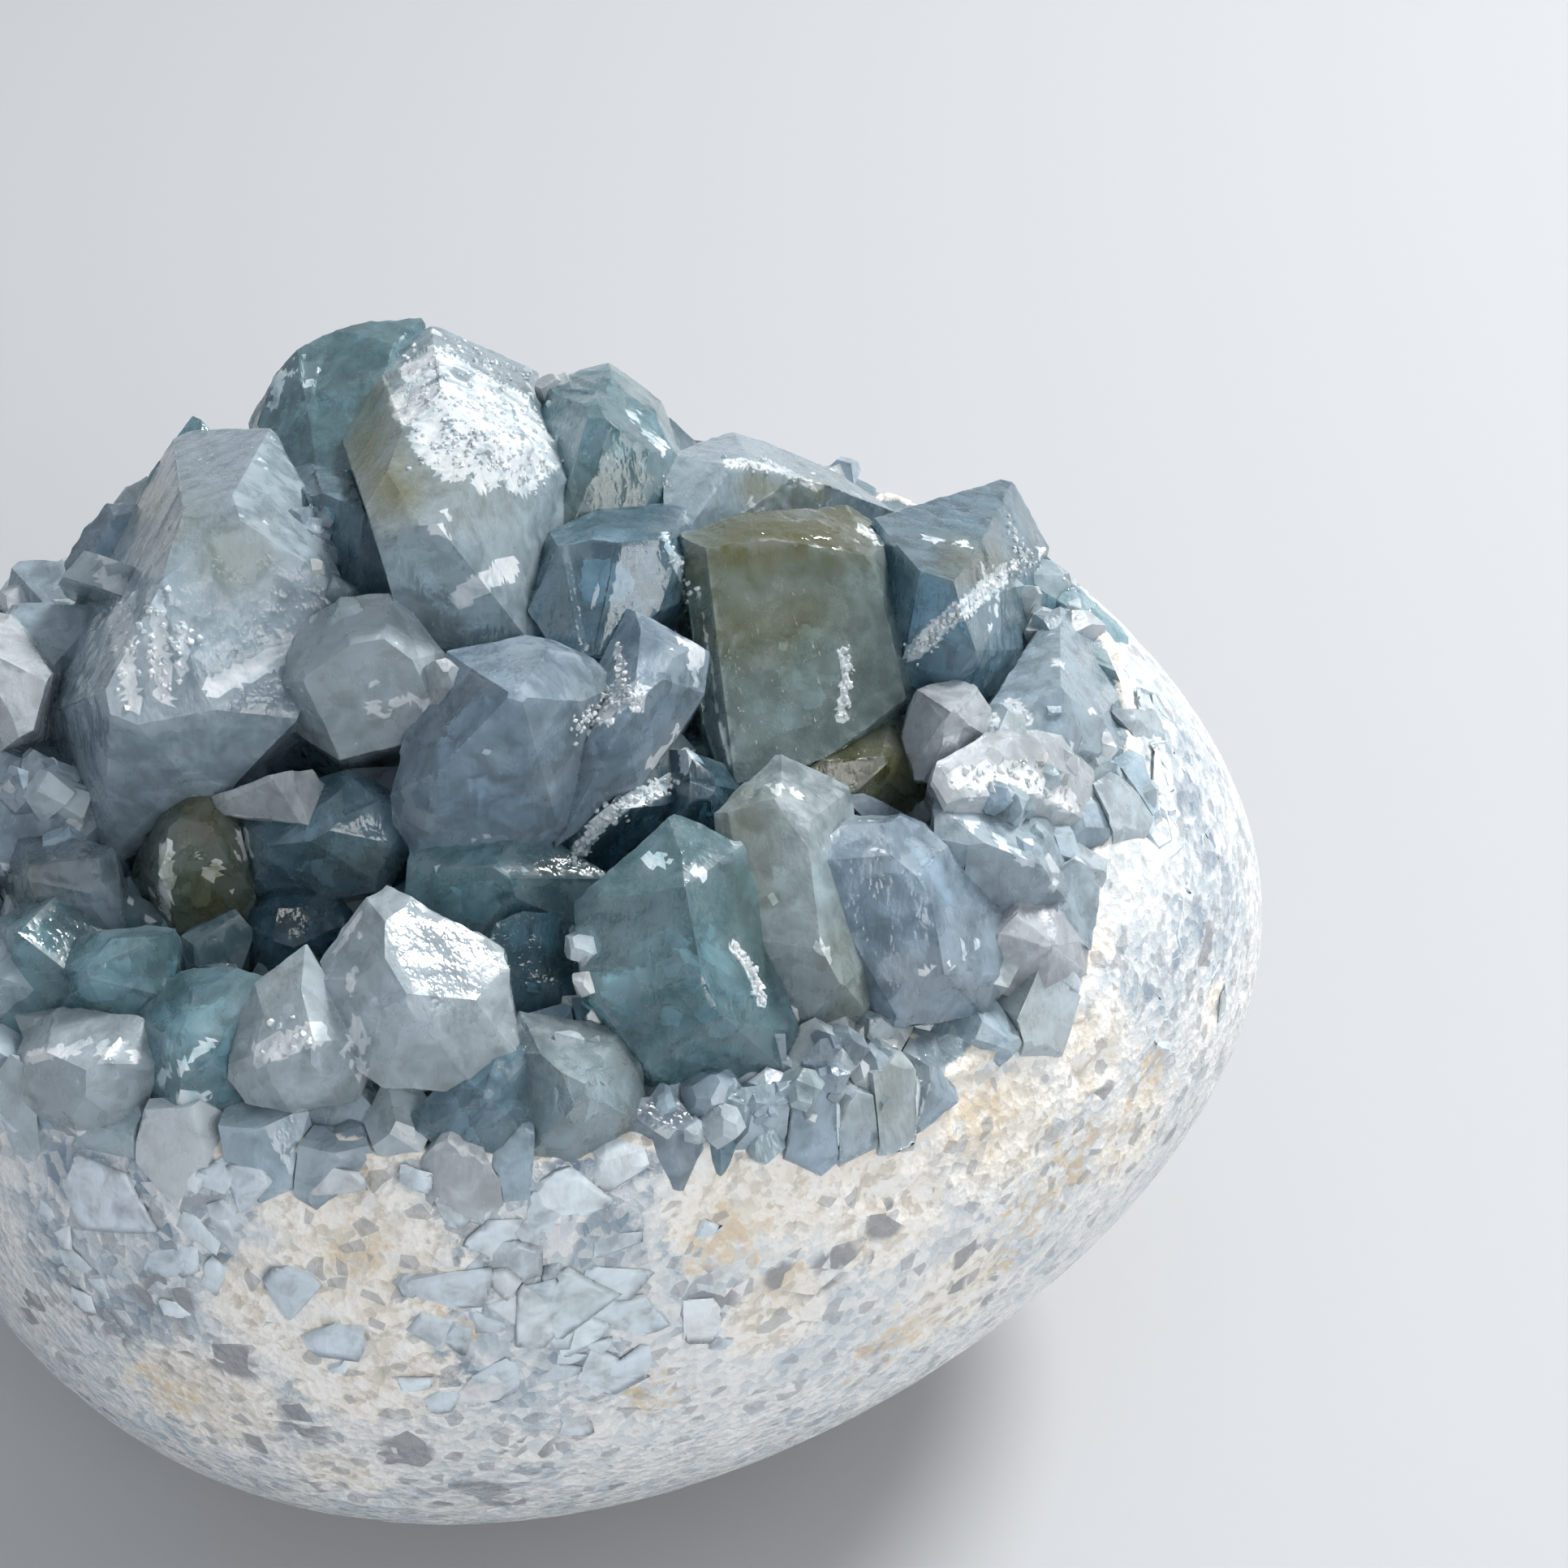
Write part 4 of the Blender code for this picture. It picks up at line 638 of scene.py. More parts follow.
def celestite(name, body, clear, rough, tint, dense, frosted=False, small=False, ground=False):
    """See-through crystal: plain transmission, refraction and absorption, with etched veils and fine grooves on its faces."""
    made, tree, shader, out = new_material(name)
    at = add(tree, "ShaderNodeTexCoord").outputs["Object"]
    clouds = noise(tree, at, 170.0, 2.0, 0.65, 0.4)
    fine = noise(tree, at, 1700.0, 2.0, 0.7)
    mid = noise(tree, at, 620.0, 2.0, 0.6, 0.5)
    grooves_at = add(tree, "ShaderNodeMapping", {"Vector": at, "Rotation": (0.35, 0.2, 0.5), "Scale": (3200.0, 2600.0, 190.0)}).outputs[0]
    grooves = noise(tree, grooves_at, 1.0, 1.0, 0.55)
    edge, frost, olive, tone, facet = (attribute(tree, n) for n in ("edge", "frost", "olive", "tone", "facet"))
    etched = maths(tree, "MULTIPLY", facet, mapped(tree, mid, 0.30, 0.70, 0.06, 0.50))
    veil = mapped(tree, maths(tree, "ADD", clouds, maths(tree, "MULTIPLY", mid, 0.35)), 0.60, 0.90, 0.0, 0.40)
    speck = mapped(tree, fine, 0.58, 0.80, 0.0, 0.20)
    crusted = maths(tree, "MULTIPLY", frost, mapped(tree, maths(tree, "ADD", mid, maths(tree, "MULTIPLY", fine, 0.5)), 0.55, 0.85, 0.35, 1.0))
    # whiter near edges: on the big crystals partly rubbed edges and partly a painted highlight along the ridges; on the
    # ground cells, whitish veins at their borders
    edges = maths(tree, "MULTIPLY", edge, mapped(tree, mid, 0.30, 0.60, 0.5, 1.0) if ground else mapped(tree, mid, 0.38, 0.62, 0.0, 0.60))
    white = maths(tree, "ADD", maths(tree, "ADD", maths(tree, "ADD", veil, etched), speck), maths(tree, "ADD", crusted, edges), clamp=True)
    # painted shade: each big crystal runs from dark at its foot to light at its tip, mixed with random mottling; small
    # crystals only get a random tone
    mottle_and_shade = maths(tree, "ADD", maths(tree, "MULTIPLY", tone, 0.8), maths(tree, "MULTIPLY", maths(tree, "SUBTRACT", mid, 0.5), 1.5))
    shade = blend(tree, mapped(tree, mottle_and_shade, -0.1, 1.0), tuple(0.55 * c for c in body), tuple(min(1.22, 0.97 / max(body)) * c for c in body))
    stained = blend(tree, maths(tree, "MULTIPLY", olive, mapped(tree, clouds, 0.30, 0.62, 0.45, 1.0)), shade, (0.30, 0.29, 0.09))
    pale = (0.76, 0.87, 0.95) if not frosted else (0.93, 0.95, 0.97)
    colour = blend(tree, maths(tree, "MULTIPLY", white, 0.72 if frosted else 0.60 if ground else 0.36), stained, pale)
    tree.links.new(colour, shader.inputs["Base Color"])
    rougher = maths(tree, "ADD", mapped(tree, white, 0.0, 1.0, rough, 0.62 if frosted else 0.46), mapped(tree, grooves, 0.4, 0.7, 0.0, 0.08))
    tree.links.new(rougher, shader.inputs["Roughness"])
    shader.inputs["Metallic"].default_value = 0.0
    shader.inputs["IOR"].default_value = 1.62
    shader.inputs["Transmission Weight"].default_value = 0.20 if frosted else clear
    shader.inputs["Subsurface Weight"].default_value = 0.0
    height = maths(tree, "ADD", maths(tree, "MULTIPLY", grooves, 0.55), maths(tree, "ADD", maths(tree, "MULTIPLY", mid, 0.9), maths(tree, "MULTIPLY", fine, 0.45)))
    bump = add(tree, "ShaderNodeBump", {"Height": height, "Distance": 0.00010 if frosted else 0.00010, "Strength": 0.8 if frosted else 0.7})
    tree.links.new(bump.outputs[0], shader.inputs["Normal"])
    if not small:
        inside = add(tree, "ShaderNodeVolumeAbsorption", {"Color": (*tint, 1.0), "Density": dense})
        tree.links.new(inside.outputs[0], out.inputs["Volume"])
    return made


def rock_material():
    """Cut crystal grains, sugary cream matrix and ochre stain, ground and polished."""
    made, tree, shader, out = new_material("polished_matrix")
    at = add(tree, "ShaderNodeTexCoord").outputs["Object"]
    blue, cream, ochre, dark, coarse, low = (attribute(tree, n) for n in ("blue", "cream", "ochre", "dark", "coarse", "low"))
    warp = add(tree, "ShaderNodeTexNoise", {"Vector": at, "Scale": 320.0, "Detail": 3.0})
    moved = add(tree, "ShaderNodeVectorMath", {0: at, 1: add(tree, "ShaderNodeVectorMath", {0: warp.outputs["Color"], "Scale": 0.0009}, operation="SCALE").outputs[0]}, operation="ADD").outputs[0]
    big = add(tree, "ShaderNodeTexVoronoi", {"Vector": moved, "Scale": 215.0, "Randomness": 1.0})
    big_edge = add(tree, "ShaderNodeTexVoronoi", {"Vector": moved, "Scale": 215.0}, feature="DISTANCE_TO_EDGE").outputs["Distance"]
    mid = add(tree, "ShaderNodeTexVoronoi", {"Vector": moved, "Scale": 560.0})
    mid_edge = add(tree, "ShaderNodeTexVoronoi", {"Vector": moved, "Scale": 560.0}, feature="DISTANCE_TO_EDGE").outputs["Distance"]
    tiny = add(tree, "ShaderNodeTexVoronoi", {"Vector": moved, "Scale": 1500.0})
    clouds = noise(tree, at, 95.0, 2.0, 0.62)
    fine = noise(tree, at, 2400.0, 2.0, 0.7)
    speckle = noise(tree, at, 800.0, 3.0, 0.68)

    def one(v):
        return add(tree, "ShaderNodeSeparateColor", {0: v.outputs["Color"]}).outputs[0]

    def grain(v, lift):
        pick = maths(tree, "ADD", one(v), maths(tree, "MULTIPLY", maths(tree, "SUBTRACT", blue, 0.5), lift))
        ramp = add(tree, "ShaderNodeValToRGB", {"Fac": pick})
        stops = ramp.color_ramp.elements
        stops[0].position, stops[0].color = 0.0, (0.86, 0.86, 0.84, 1)
        stops[1].position, stops[1].color = 1.0, (0.22, 0.29, 0.37, 1)
        for place, colour in ((0.28, (0.74, 0.76, 0.77, 1)), (0.50, (0.60, 0.66, 0.70, 1)), (0.72, (0.46, 0.54, 0.60, 1)), (0.88, (0.34, 0.41, 0.47, 1))):
            stops.new(place).color = colour
        return ramp.outputs[0]

    coarse_cut = blend(tree, mapped(tree, big_edge, 0.02, 0.10, 0.75, 0.0), grain(big, 0.9), (0.86, 0.88, 0.88))
    mid_cut = blend(tree, mapped(tree, mid_edge, 0.02, 0.12, 0.55, 0.0), grain(mid, 0.6), (0.83, 0.83, 0.81))
    cut = blend(tree, mapped(tree, maths(tree, "ADD", coarse, maths(tree, "MULTIPLY", clouds, 0.5)), 0.60, 0.74), mid_cut, coarse_cut)
    cut = blend(tree, 0.50, cut, grain(tiny, 0.3))
    sugar = blend(tree, mapped(tree, one(tiny), 0.2, 0.9), (0.90, 0.85, 0.76), (0.66, 0.61, 0.53))
    sugar = blend(tree, mapped(tree, speckle, 0.42, 0.62), sugar, (0.95, 0.93, 0.89))
    creamy = mapped(tree, maths(tree, "ADD", cream, maths(tree, "MULTIPLY", maths(tree, "SUBTRACT", speckle, 0.5), 1.3)), 0.30, 0.62)
    colour = blend(tree, creamy, cut, sugar)
    beige = blend(tree, mapped(tree, one(tiny), 0.1, 0.95), (0.82, 0.78, 0.71), (0.50, 0.47, 0.43))
    colour = blend(tree, mapped(tree, maths(tree, "ADD", low, maths(tree, "MULTIPLY", maths(tree, "SUBTRACT", speckle, 0.5), 0.9)), 0.30, 0.70, 0.0, 0.9), colour, beige)
    yellow = mapped(tree, maths(tree, "ADD", ochre, maths(tree, "MULTIPLY", maths(tree, "SUBTRACT", speckle, 0.5), 2.0)), 0.38, 0.75, 0.0, 0.62)
    colour = blend(tree, yellow, colour, (0.64, 0.48, 0.26))
    smoky = mapped(tree, maths(tree, "ADD", dark, maths(tree, "MULTIPLY", maths(tree, "SUBTRACT", one(mid), 0.5), 0.9)), 0.45, 0.70, 0.0, 0.85)
    colour = blend(tree, smoky, colour, (0.27, 0.28, 0.30))
    grit = add(tree, "ShaderNodeTexVoronoi", {"Vector": at, "Scale": 1050.0})
    colour = blend(tree, mapped(tree, one(grit), 0.86, 0.93, 0.0, 0.55), colour, (0.30, 0.32, 0.35))
    colour = blend(tree, mapped(tree, one(grit), 0.0, 0.16, 0.60, 0.0), colour, (0.93, 0.94, 0.94))
    rust = mapped(tree, noise(tree, at, 230.0, 4.0, 0.75), 0.70, 0.78, 0.0, 0.5)
    colour = blend(tree, rust, colour, (0.46, 0.32, 0.20))
    tree.links.new(colour, shader.inputs["Base Color"])
    tree.links.new(mapped(tree, maths(tree, "ADD", speckle, maths(tree, "MULTIPLY", creamy, 0.25)), 0.40, 0.80, 0.20, 0.62), shader.inputs["Roughness"])
    shader.inputs["Metallic"].default_value = 0.0
    shader.inputs["IOR"].default_value = 1.56
    shader.inputs["Subsurface Weight"].default_value = 0.0
    height = maths(tree, "ADD", maths(tree, "MULTIPLY", speckle, 1.0), maths(tree, "ADD", maths(tree, "MULTIPLY", fine, 0.5), maths(tree, "MULTIPLY", tiny.outputs["Distance"], 0.8)))
    bump = add(tree, "ShaderNodeBump", {"Height": height, "Distance": 0.00022, "Strength": 0.7})
    tree.links.new(bump.outputs[0], shader.inputs["Normal"])
    return made


def bed_material():
    """The bed between the crystals: dark crystalline crust, its darkness partly painted shade of the deep recesses,
    with white and cream matrix showing through.
    """
    made, tree, shader, out = new_material("crystalline_bed")
    at = add(tree, "ShaderNodeTexCoord").outputs["Object"]
    cream, ochre = attribute(tree, "cream"), attribute(tree, "ochre")
    cells = add(tree, "ShaderNodeTexVoronoi", {"Vector": at, "Scale": 520.0})
    clouds = noise(tree, at, 240.0, 4.0, 0.65)
    speckle = noise(tree, at, 1100.0, 5.0, 0.7)
    pick = add(tree, "ShaderNodeSeparateColor", {0: cells.outputs["Color"]}).outputs[0]
    # dark blue-grey cells: the crust's own colour, darkened as painted shade of the deep bed
    colour = blend(tree, pick, (0.10, 0.17, 0.22), (0.26, 0.34, 0.38))
    colour = blend(tree, mapped(tree, speckle, 0.55, 0.72, 0.0, 0.5), colour, (0.55, 0.62, 0.66))
    colour = blend(tree, mapped(tree, maths(tree, "ADD", cream, maths(tree, "MULTIPLY", maths(tree, "SUBTRACT", speckle, 0.5), 1.0)), 0.35, 0.60), colour, (0.82, 0.79, 0.71))
    colour = blend(tree, mapped(tree, maths(tree, "ADD", ochre, maths(tree, "MULTIPLY", maths(tree, "SUBTRACT", speckle, 0.5), 1.5)), 0.40, 0.75, 0.0, 0.6), colour, (0.60, 0.46, 0.26))
    tree.links.new(colour, shader.inputs["Base Color"])
    tree.links.new(mapped(tree, clouds, 0.35, 0.65, 0.12, 0.5), shader.inputs["Roughness"])
    shader.inputs["IOR"].default_value = 1.62
    bump = add(tree, "ShaderNodeBump", {"Height": maths(tree, "ADD", speckle, cells.outputs["Distance"]), "Distance": 0.0003, "Strength": 0.8})
    tree.links.new(bump.outputs[0], shader.inputs["Normal"])
    return made


clear_materials, frosted_materials, small_materials = {}, {}, {}
for kind, (body_colour, clear, rough, tint, dense) in LOOKS.items():
    clear_materials[kind] = celestite("celestite_" + kind, body_colour, clear, rough, tint, dense)
    frosted_materials[kind] = celestite("celestite_" + kind + "_crusted", body_colour, clear, rough, tint, dense, frosted=True)


# Large crystals ------------------------------------------------------------------------------------

EVERY_BODY = []  # (points, faces) of what later pieces may sit on


def chips(c, rng):
    """Small breaks across the corners and edges, as more planes."""
    own = corners(c["planes"])
    if len(own) < 4:
        return
    heart = own.mean(axis=0)
    more = []
    rise = own @ c["w"]
    top = own[rise > np.quantile(rise, 0.35)]
    for _ in range(4):
        a, b = top[rng.integers(len(top))], top[rng.integers(len(top))]
        at = a if rng.random() < 0.6 else (a + b) / 2
        n = (at - heart) / np.linalg.norm(at - heart) + rng.normal(0, 0.45, 3)
        n /= np.linalg.norm(n)
        reach = (own @ n).max()
        more.append(np.append(n, reach - rng.uniform(0.3, 1.4)))
    c["planes"] = np.vstack([c["planes"], more])


def etchings(count, rng, clear=0.0):
    """How etched each flat face is: many are clear, some cloudy, a few frosted."""
    pick = rng.random(count) * (1 - clear)
    return np.where(pick < 0.45, 0.3 * rng.random(count), np.where(pick < 0.80, rng.uniform(0.35, 0.65, count), rng.uniform(0.7, 1.0, count)))


def big_crystal(c, size, swell=0.45):
    if len(corners(c["planes"])) < 4:
        print("NO BODY", c["name"])
        return None
    c["planes"][:, 3] += swell
    rng = np.random.default_rng(sum(ord(ch) * (i + 7) for i, ch in enumerate(c["name"])))
    chips(c, rng)
    own = corners(c["planes"])
    if len(own) < 4:
        print("NO BODY AFTER CHIPS", c["name"])
        return None
    p, faces, owner = fanned(*hull_of(own))
    p, faces, owner = refine(p, faces, owner, size)
    heart = own.mean(axis=0)
    planes = c["planes"]
    g = p @ planes[:, :3].T - planes[:, 3]
    first = np.argmax(g, axis=1)
    alike = planes[:, :3] @ planes[:, :3].T > 0.90
    g[alike[first]] = -99.0
    # nearness to an edge, which the shader whitens as rubbed edge and painted highlight
    edge = np.exp(g.max(axis=1).clip(-9, 0) / 0.28)
    # relief: some faces finely grooved, some stepped where they broke, some etched, some smooth
    styles = rng.random(owner.max() + 1)
    amount = np.zeros((len(p), 3))
    count = np.zeros(len(p))
    by_face = np.stack([(styles < 0.40) * 1.0, ((styles >= 0.40) & (styles < 0.72)) * 1.0, (styles >= 0.60) * 1.0], axis=1)[owner]
    for k in range(3):
        np.add.at(amount, faces[:, k], by_face)
        np.add.at(count, faces[:, k], 1)
    amount /= count[:, None]
    w = c["w"]
    e1 = np.cross(w, [1.0, 0, 0])
    e1 /= np.linalg.norm(e1)
    e2 = np.cross(w, e1)
    local = np.stack([p @ e1, p @ e2, p @ w], axis=1)
    grooves = field(local * [1, 1, 0.10], 0.9, 3, 2)
    height = field(p, 5.0, 5, 2) * 7
    stepped = (np.floor(height) + step(height - np.floor(height), 0.42, 0.58)) / 7
    etched = field(p, 1.3, 9, 3)
    relief = 0.16 * amount[:, 0] * (grooves - 0.5) + 1.2 * amount[:, 1] * (stepped - 0.5) + 0.22 * amount[:, 2] * (etched - 0.5) + 0.06 * (field(p, 4.0, 12, 2) - 0.5)
    relief += edge * 0.20 * (field(p, 0.9, 21, 2) - 0.3)
    inward = heart - p
    inward /= np.linalg.norm(inward, axis=1)[:, None]
    uv = pictured(p)
    toward = ((p - heart) @ view.back) > -0.25 * np.linalg.norm(p - heart, axis=1)
    frost = 0.55 * step(field(p, 4.5, 31, 3), 0.56, 0.76)
    for line, wide, strength, _ in CRUSTS.get(c["name"], ()):
        frost = np.maximum(frost, strength * near_line(uv, line, wide) * toward)
    olive = 0.12 * step(field(p, 9.0, 41, 2), 0.60, 0.80)
    for line, wide, strength in STAINS.get(c["name"], ()):
        olive = np.maximum(olive, strength * near_line(uv, line, wide))
    # painted shade: darker at the foot where the crystal stands in the bed, lighter towards its tip, with a random tone
    # on top
    rising = ((p - c["root"]) @ w) / max(((own - c["root"]) @ w).max(), 1.0)
    tone = np.clip(0.15 + 0.55 * rising + 0.5 * (field(p, 6.0, 51, 2) - 0.5), 0, 1)
    p = p + inward * (relief + 0.35 * step(frost, 0.5, 0.9) * field(p, 0.7, 61, 2))[:, None]
    mean_frost = frost[faces].mean(axis=1)
    slots = (mean_frost > 0.34 + 0.4 * field(p[faces].mean(axis=1), 0.8, 71, 2)).astype(int)
    made = mesh_object("grown_" + c["name"], p, faces, [clear_materials[c["kind"]], frosted_materials[c["kind"]]], slots, sharp=40, attributes={"edge": edge, "frost": frost, "olive": olive, "tone": tone}, owner=owner, facets=etchings(owner.max() + 1, rng, 0.4 if c["kind"] in ("deep", "teal", "navy", "amber", "smoky", "olive") else 0.0)[owner])
    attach(made, "root")
    EVERY_BODY.append((p, faces))
    inner_veils(c, own, rng)
    return made


SEALED = {"p": [], "faces": [], "count": 0}


def inner_veils(c, own, rng):
    """Thin healed cracks inside a crystal, lying along its faces."""
    planes, heart = c["planes"], own.mean(axis=0)
    wide = np.linalg.norm(own - heart, axis=1).mean()
    for _ in range(int(4 + 1.5 * wide)):
        mix = rng.dirichlet(np.full(len(own), 0.5))
        at = heart + (mix @ own - heart) * 0.85
        n = planes[rng.integers(len(planes)), :3] + rng.normal(0, 0.12, 3)
        n /= np.linalg.norm(n)
        room = (planes[:, 3] - planes[:, :3] @ at).min() - 0.5
        reach = min(rng.uniform(0.5, 2.6), 1.6 * room)
        if room < 0.3:
            continue
        frame_at = turned(n, rng.uniform(0, 6.28))
        long = rng.uniform(1.0, 2.2)
        turns = np.linspace(0, 2 * math.pi, 10)[:-1] + rng.normal(0, 0.15, 9)
        spread = reach * rng.uniform(0.45, 1.0, 9) / long
        ring = np.stack([np.cos(turns) * spread * long, np.sin(turns) * spread, rng.normal(0, 0.05, 9)], axis=1)
        q = np.vstack([ring, [[0, 0, 0.03]], [[0, 0, -0.03]]]) @ frame_at.T + at
        if ((planes[:, 3] - q @ planes[:, :3].T) < 0.35).any():
            continue
        i = np.arange(9)
        j = (i + 1) % 9
        faces = np.vstack([np.stack([i, j, np.full(9, 9)], axis=1), np.stack([j, i, np.full(9, 10)], axis=1)])
        SEALED["p"].append(q)
        SEALED["faces"].append(faces + SEALED["count"])
        SEALED["count"] += len(q)


def turned(axis, spin):
    axis = axis / np.linalg.norm(axis)
    e1 = np.cross(axis, [0.3, 1.0, 0.2])
    e1 /= np.linalg.norm(e1)
    e2 = np.cross(axis, e1)
    c, s = math.cos(spin), math.sin(spin)
    return np.stack([e1 * c + e2 * s, e2 * c - e1 * s, axis], axis=1)


def wrapped(outline, most=7):
    """The outline's hull, with its least corners left out."""
    pts = sorted(set(outline))

    def half(run):
        out = []
        for q in run:
            while len(out) > 1 and (out[-1][0] - out[-2][0]) * (q[1] - out[-2][1]) - (out[-1][1] - out[-2][1]) * (q[0] - out[-2][0]) <= 0:
                out.pop()
            out.append(q)
        return out[:-1]

    ring = half(pts) + half(pts[::-1])
    while len(ring) > most:
        def loss(k):
            a, b, c = (np.array(ring[(k + d) % len(ring)], float) for d in (-1, 0, 1))
            return abs((b - a)[0] * (c - a)[1] - (b - a)[1] * (c - a)[0])
        ring.pop(min(range(len(ring)), key=loss))
    return ring


named = {n[len("crystal_"):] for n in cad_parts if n.startswith("crystal_")}
for name, kind, reach, outline, peaks in FRONT + BETWEEN:
    c = dict(seen_crystal(wrapped(outline), reach, peaks), name=name, kind=kind)
    made = big_crystal(c, 0.62, 0.85)
    if name in named:
        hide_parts("crystal_" + name)
for name, kind, *shape in REAR:
    c = dict(block(*shape), name=name, kind=kind)
    made = big_crystal(c, 0.8)
    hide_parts("crystal_" + name)


veil_material, veil_tree, veil_shader, _ = new_material("healed_cracks")
veil_at = add(veil_tree, "ShaderNodeTexCoord").outputs["Object"]
veil_colour = blend(veil_tree, mapped(veil_tree, noise(veil_tree, veil_at, 1400.0), 0.35, 0.65), (0.62, 0.76, 0.86), (0.93, 0.97, 1.0))
veil_tree.links.new(veil_colour, veil_shader.inputs["Base Color"])
veil_shader.inputs["Roughness"].default_value = 0.25
veils = mesh_object("sealed_cracks", np.vstack(SEALED["p"]), np.vstack(SEALED["faces"]), [veil_material], smooth=False)
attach(veils, "root")


# The stone -----------------------------------------------------------------------------------------

AROUND, INNER, OUTER = 360, 56, 150


def heights(turns):
    t = (turns / math.radians(30)) % 12
    i = t.astype(int)
    f = t - i
    f = f * f * (3 - 2 * f)
    h = np.array(RIM_HEIGHTS)
    return h[i % 12] * (1 - f) + h[(i + 1) % 12] * f


def outward(p):
    """The egg's own normal near a point."""
    e = 0.05
    n = np.stack([shell(p + e * axis) - shell(p - e * axis) for axis in np.eye(3)], axis=-1)
    return n / np.linalg.norm(n, axis=-1, keepdims=True)


def cast_to_shell(directions):
    low, high = np.zeros(len(directions)), np.full(len(directions), 80.0)
    for _ in range(30):
        mid = (low + high) / 2
        inside = shell(CENTRE + directions * mid[:, None]) < 1
        low, high = np.where(inside, mid, low), np.where(inside, high, mid)
    return CENTRE + directions * low[:, None]


def rim_reaches(turns):
    low, high, rise = np.zeros(len(turns)), np.full(len(turns), 60.0), heights(turns)
    for _ in range(30):
        mid = (low + high) / 2
        inside = shell(CENTRE + np.stack([mid * np.cos(turns), mid * np.sin(turns), rise], axis=1)) < 1
        low, high = np.where(inside, mid, low), np.where(inside, high, mid)
    return low


def blobs(p, spots, grow=1.0):
    total = np.zeros(len(p))
    for u, v, wide in spots:
        at = view.spot(u, v, 1.0)
        total = np.maximum(total, np.exp(-((np.linalg.norm(p - at, axis=1) / (wide * grow / 17.0)) ** 2)))
    return total


CUT = []


def cut_seeds(p, n, out, blue, up):
    """Middles of the grains that show at the ground surface, and which of them are clear crystal."""
    rng = np.random.default_rng(77)
    order = rng.permutation(np.flatnonzero(out & (p[:, 2] > 12.0)))
    free = np.ones(len(p), bool)
    seeds, chosen = [], []
    for k in order:
        if not free[k]:
            continue
        gap = rng.uniform(0.9, 2.0)
        free[np.linalg.norm(p - p[k], axis=1) < gap] = False
        seeds.append(p[k] + n[k] * rng.uniform(-0.8, 0.8))
        chosen.append(rng.random() < 0.70 * blue[k] * np.clip(0.6 + up[k] / 25.0, 0.25, 1.0))
    return np.array(seeds), np.array(chosen)


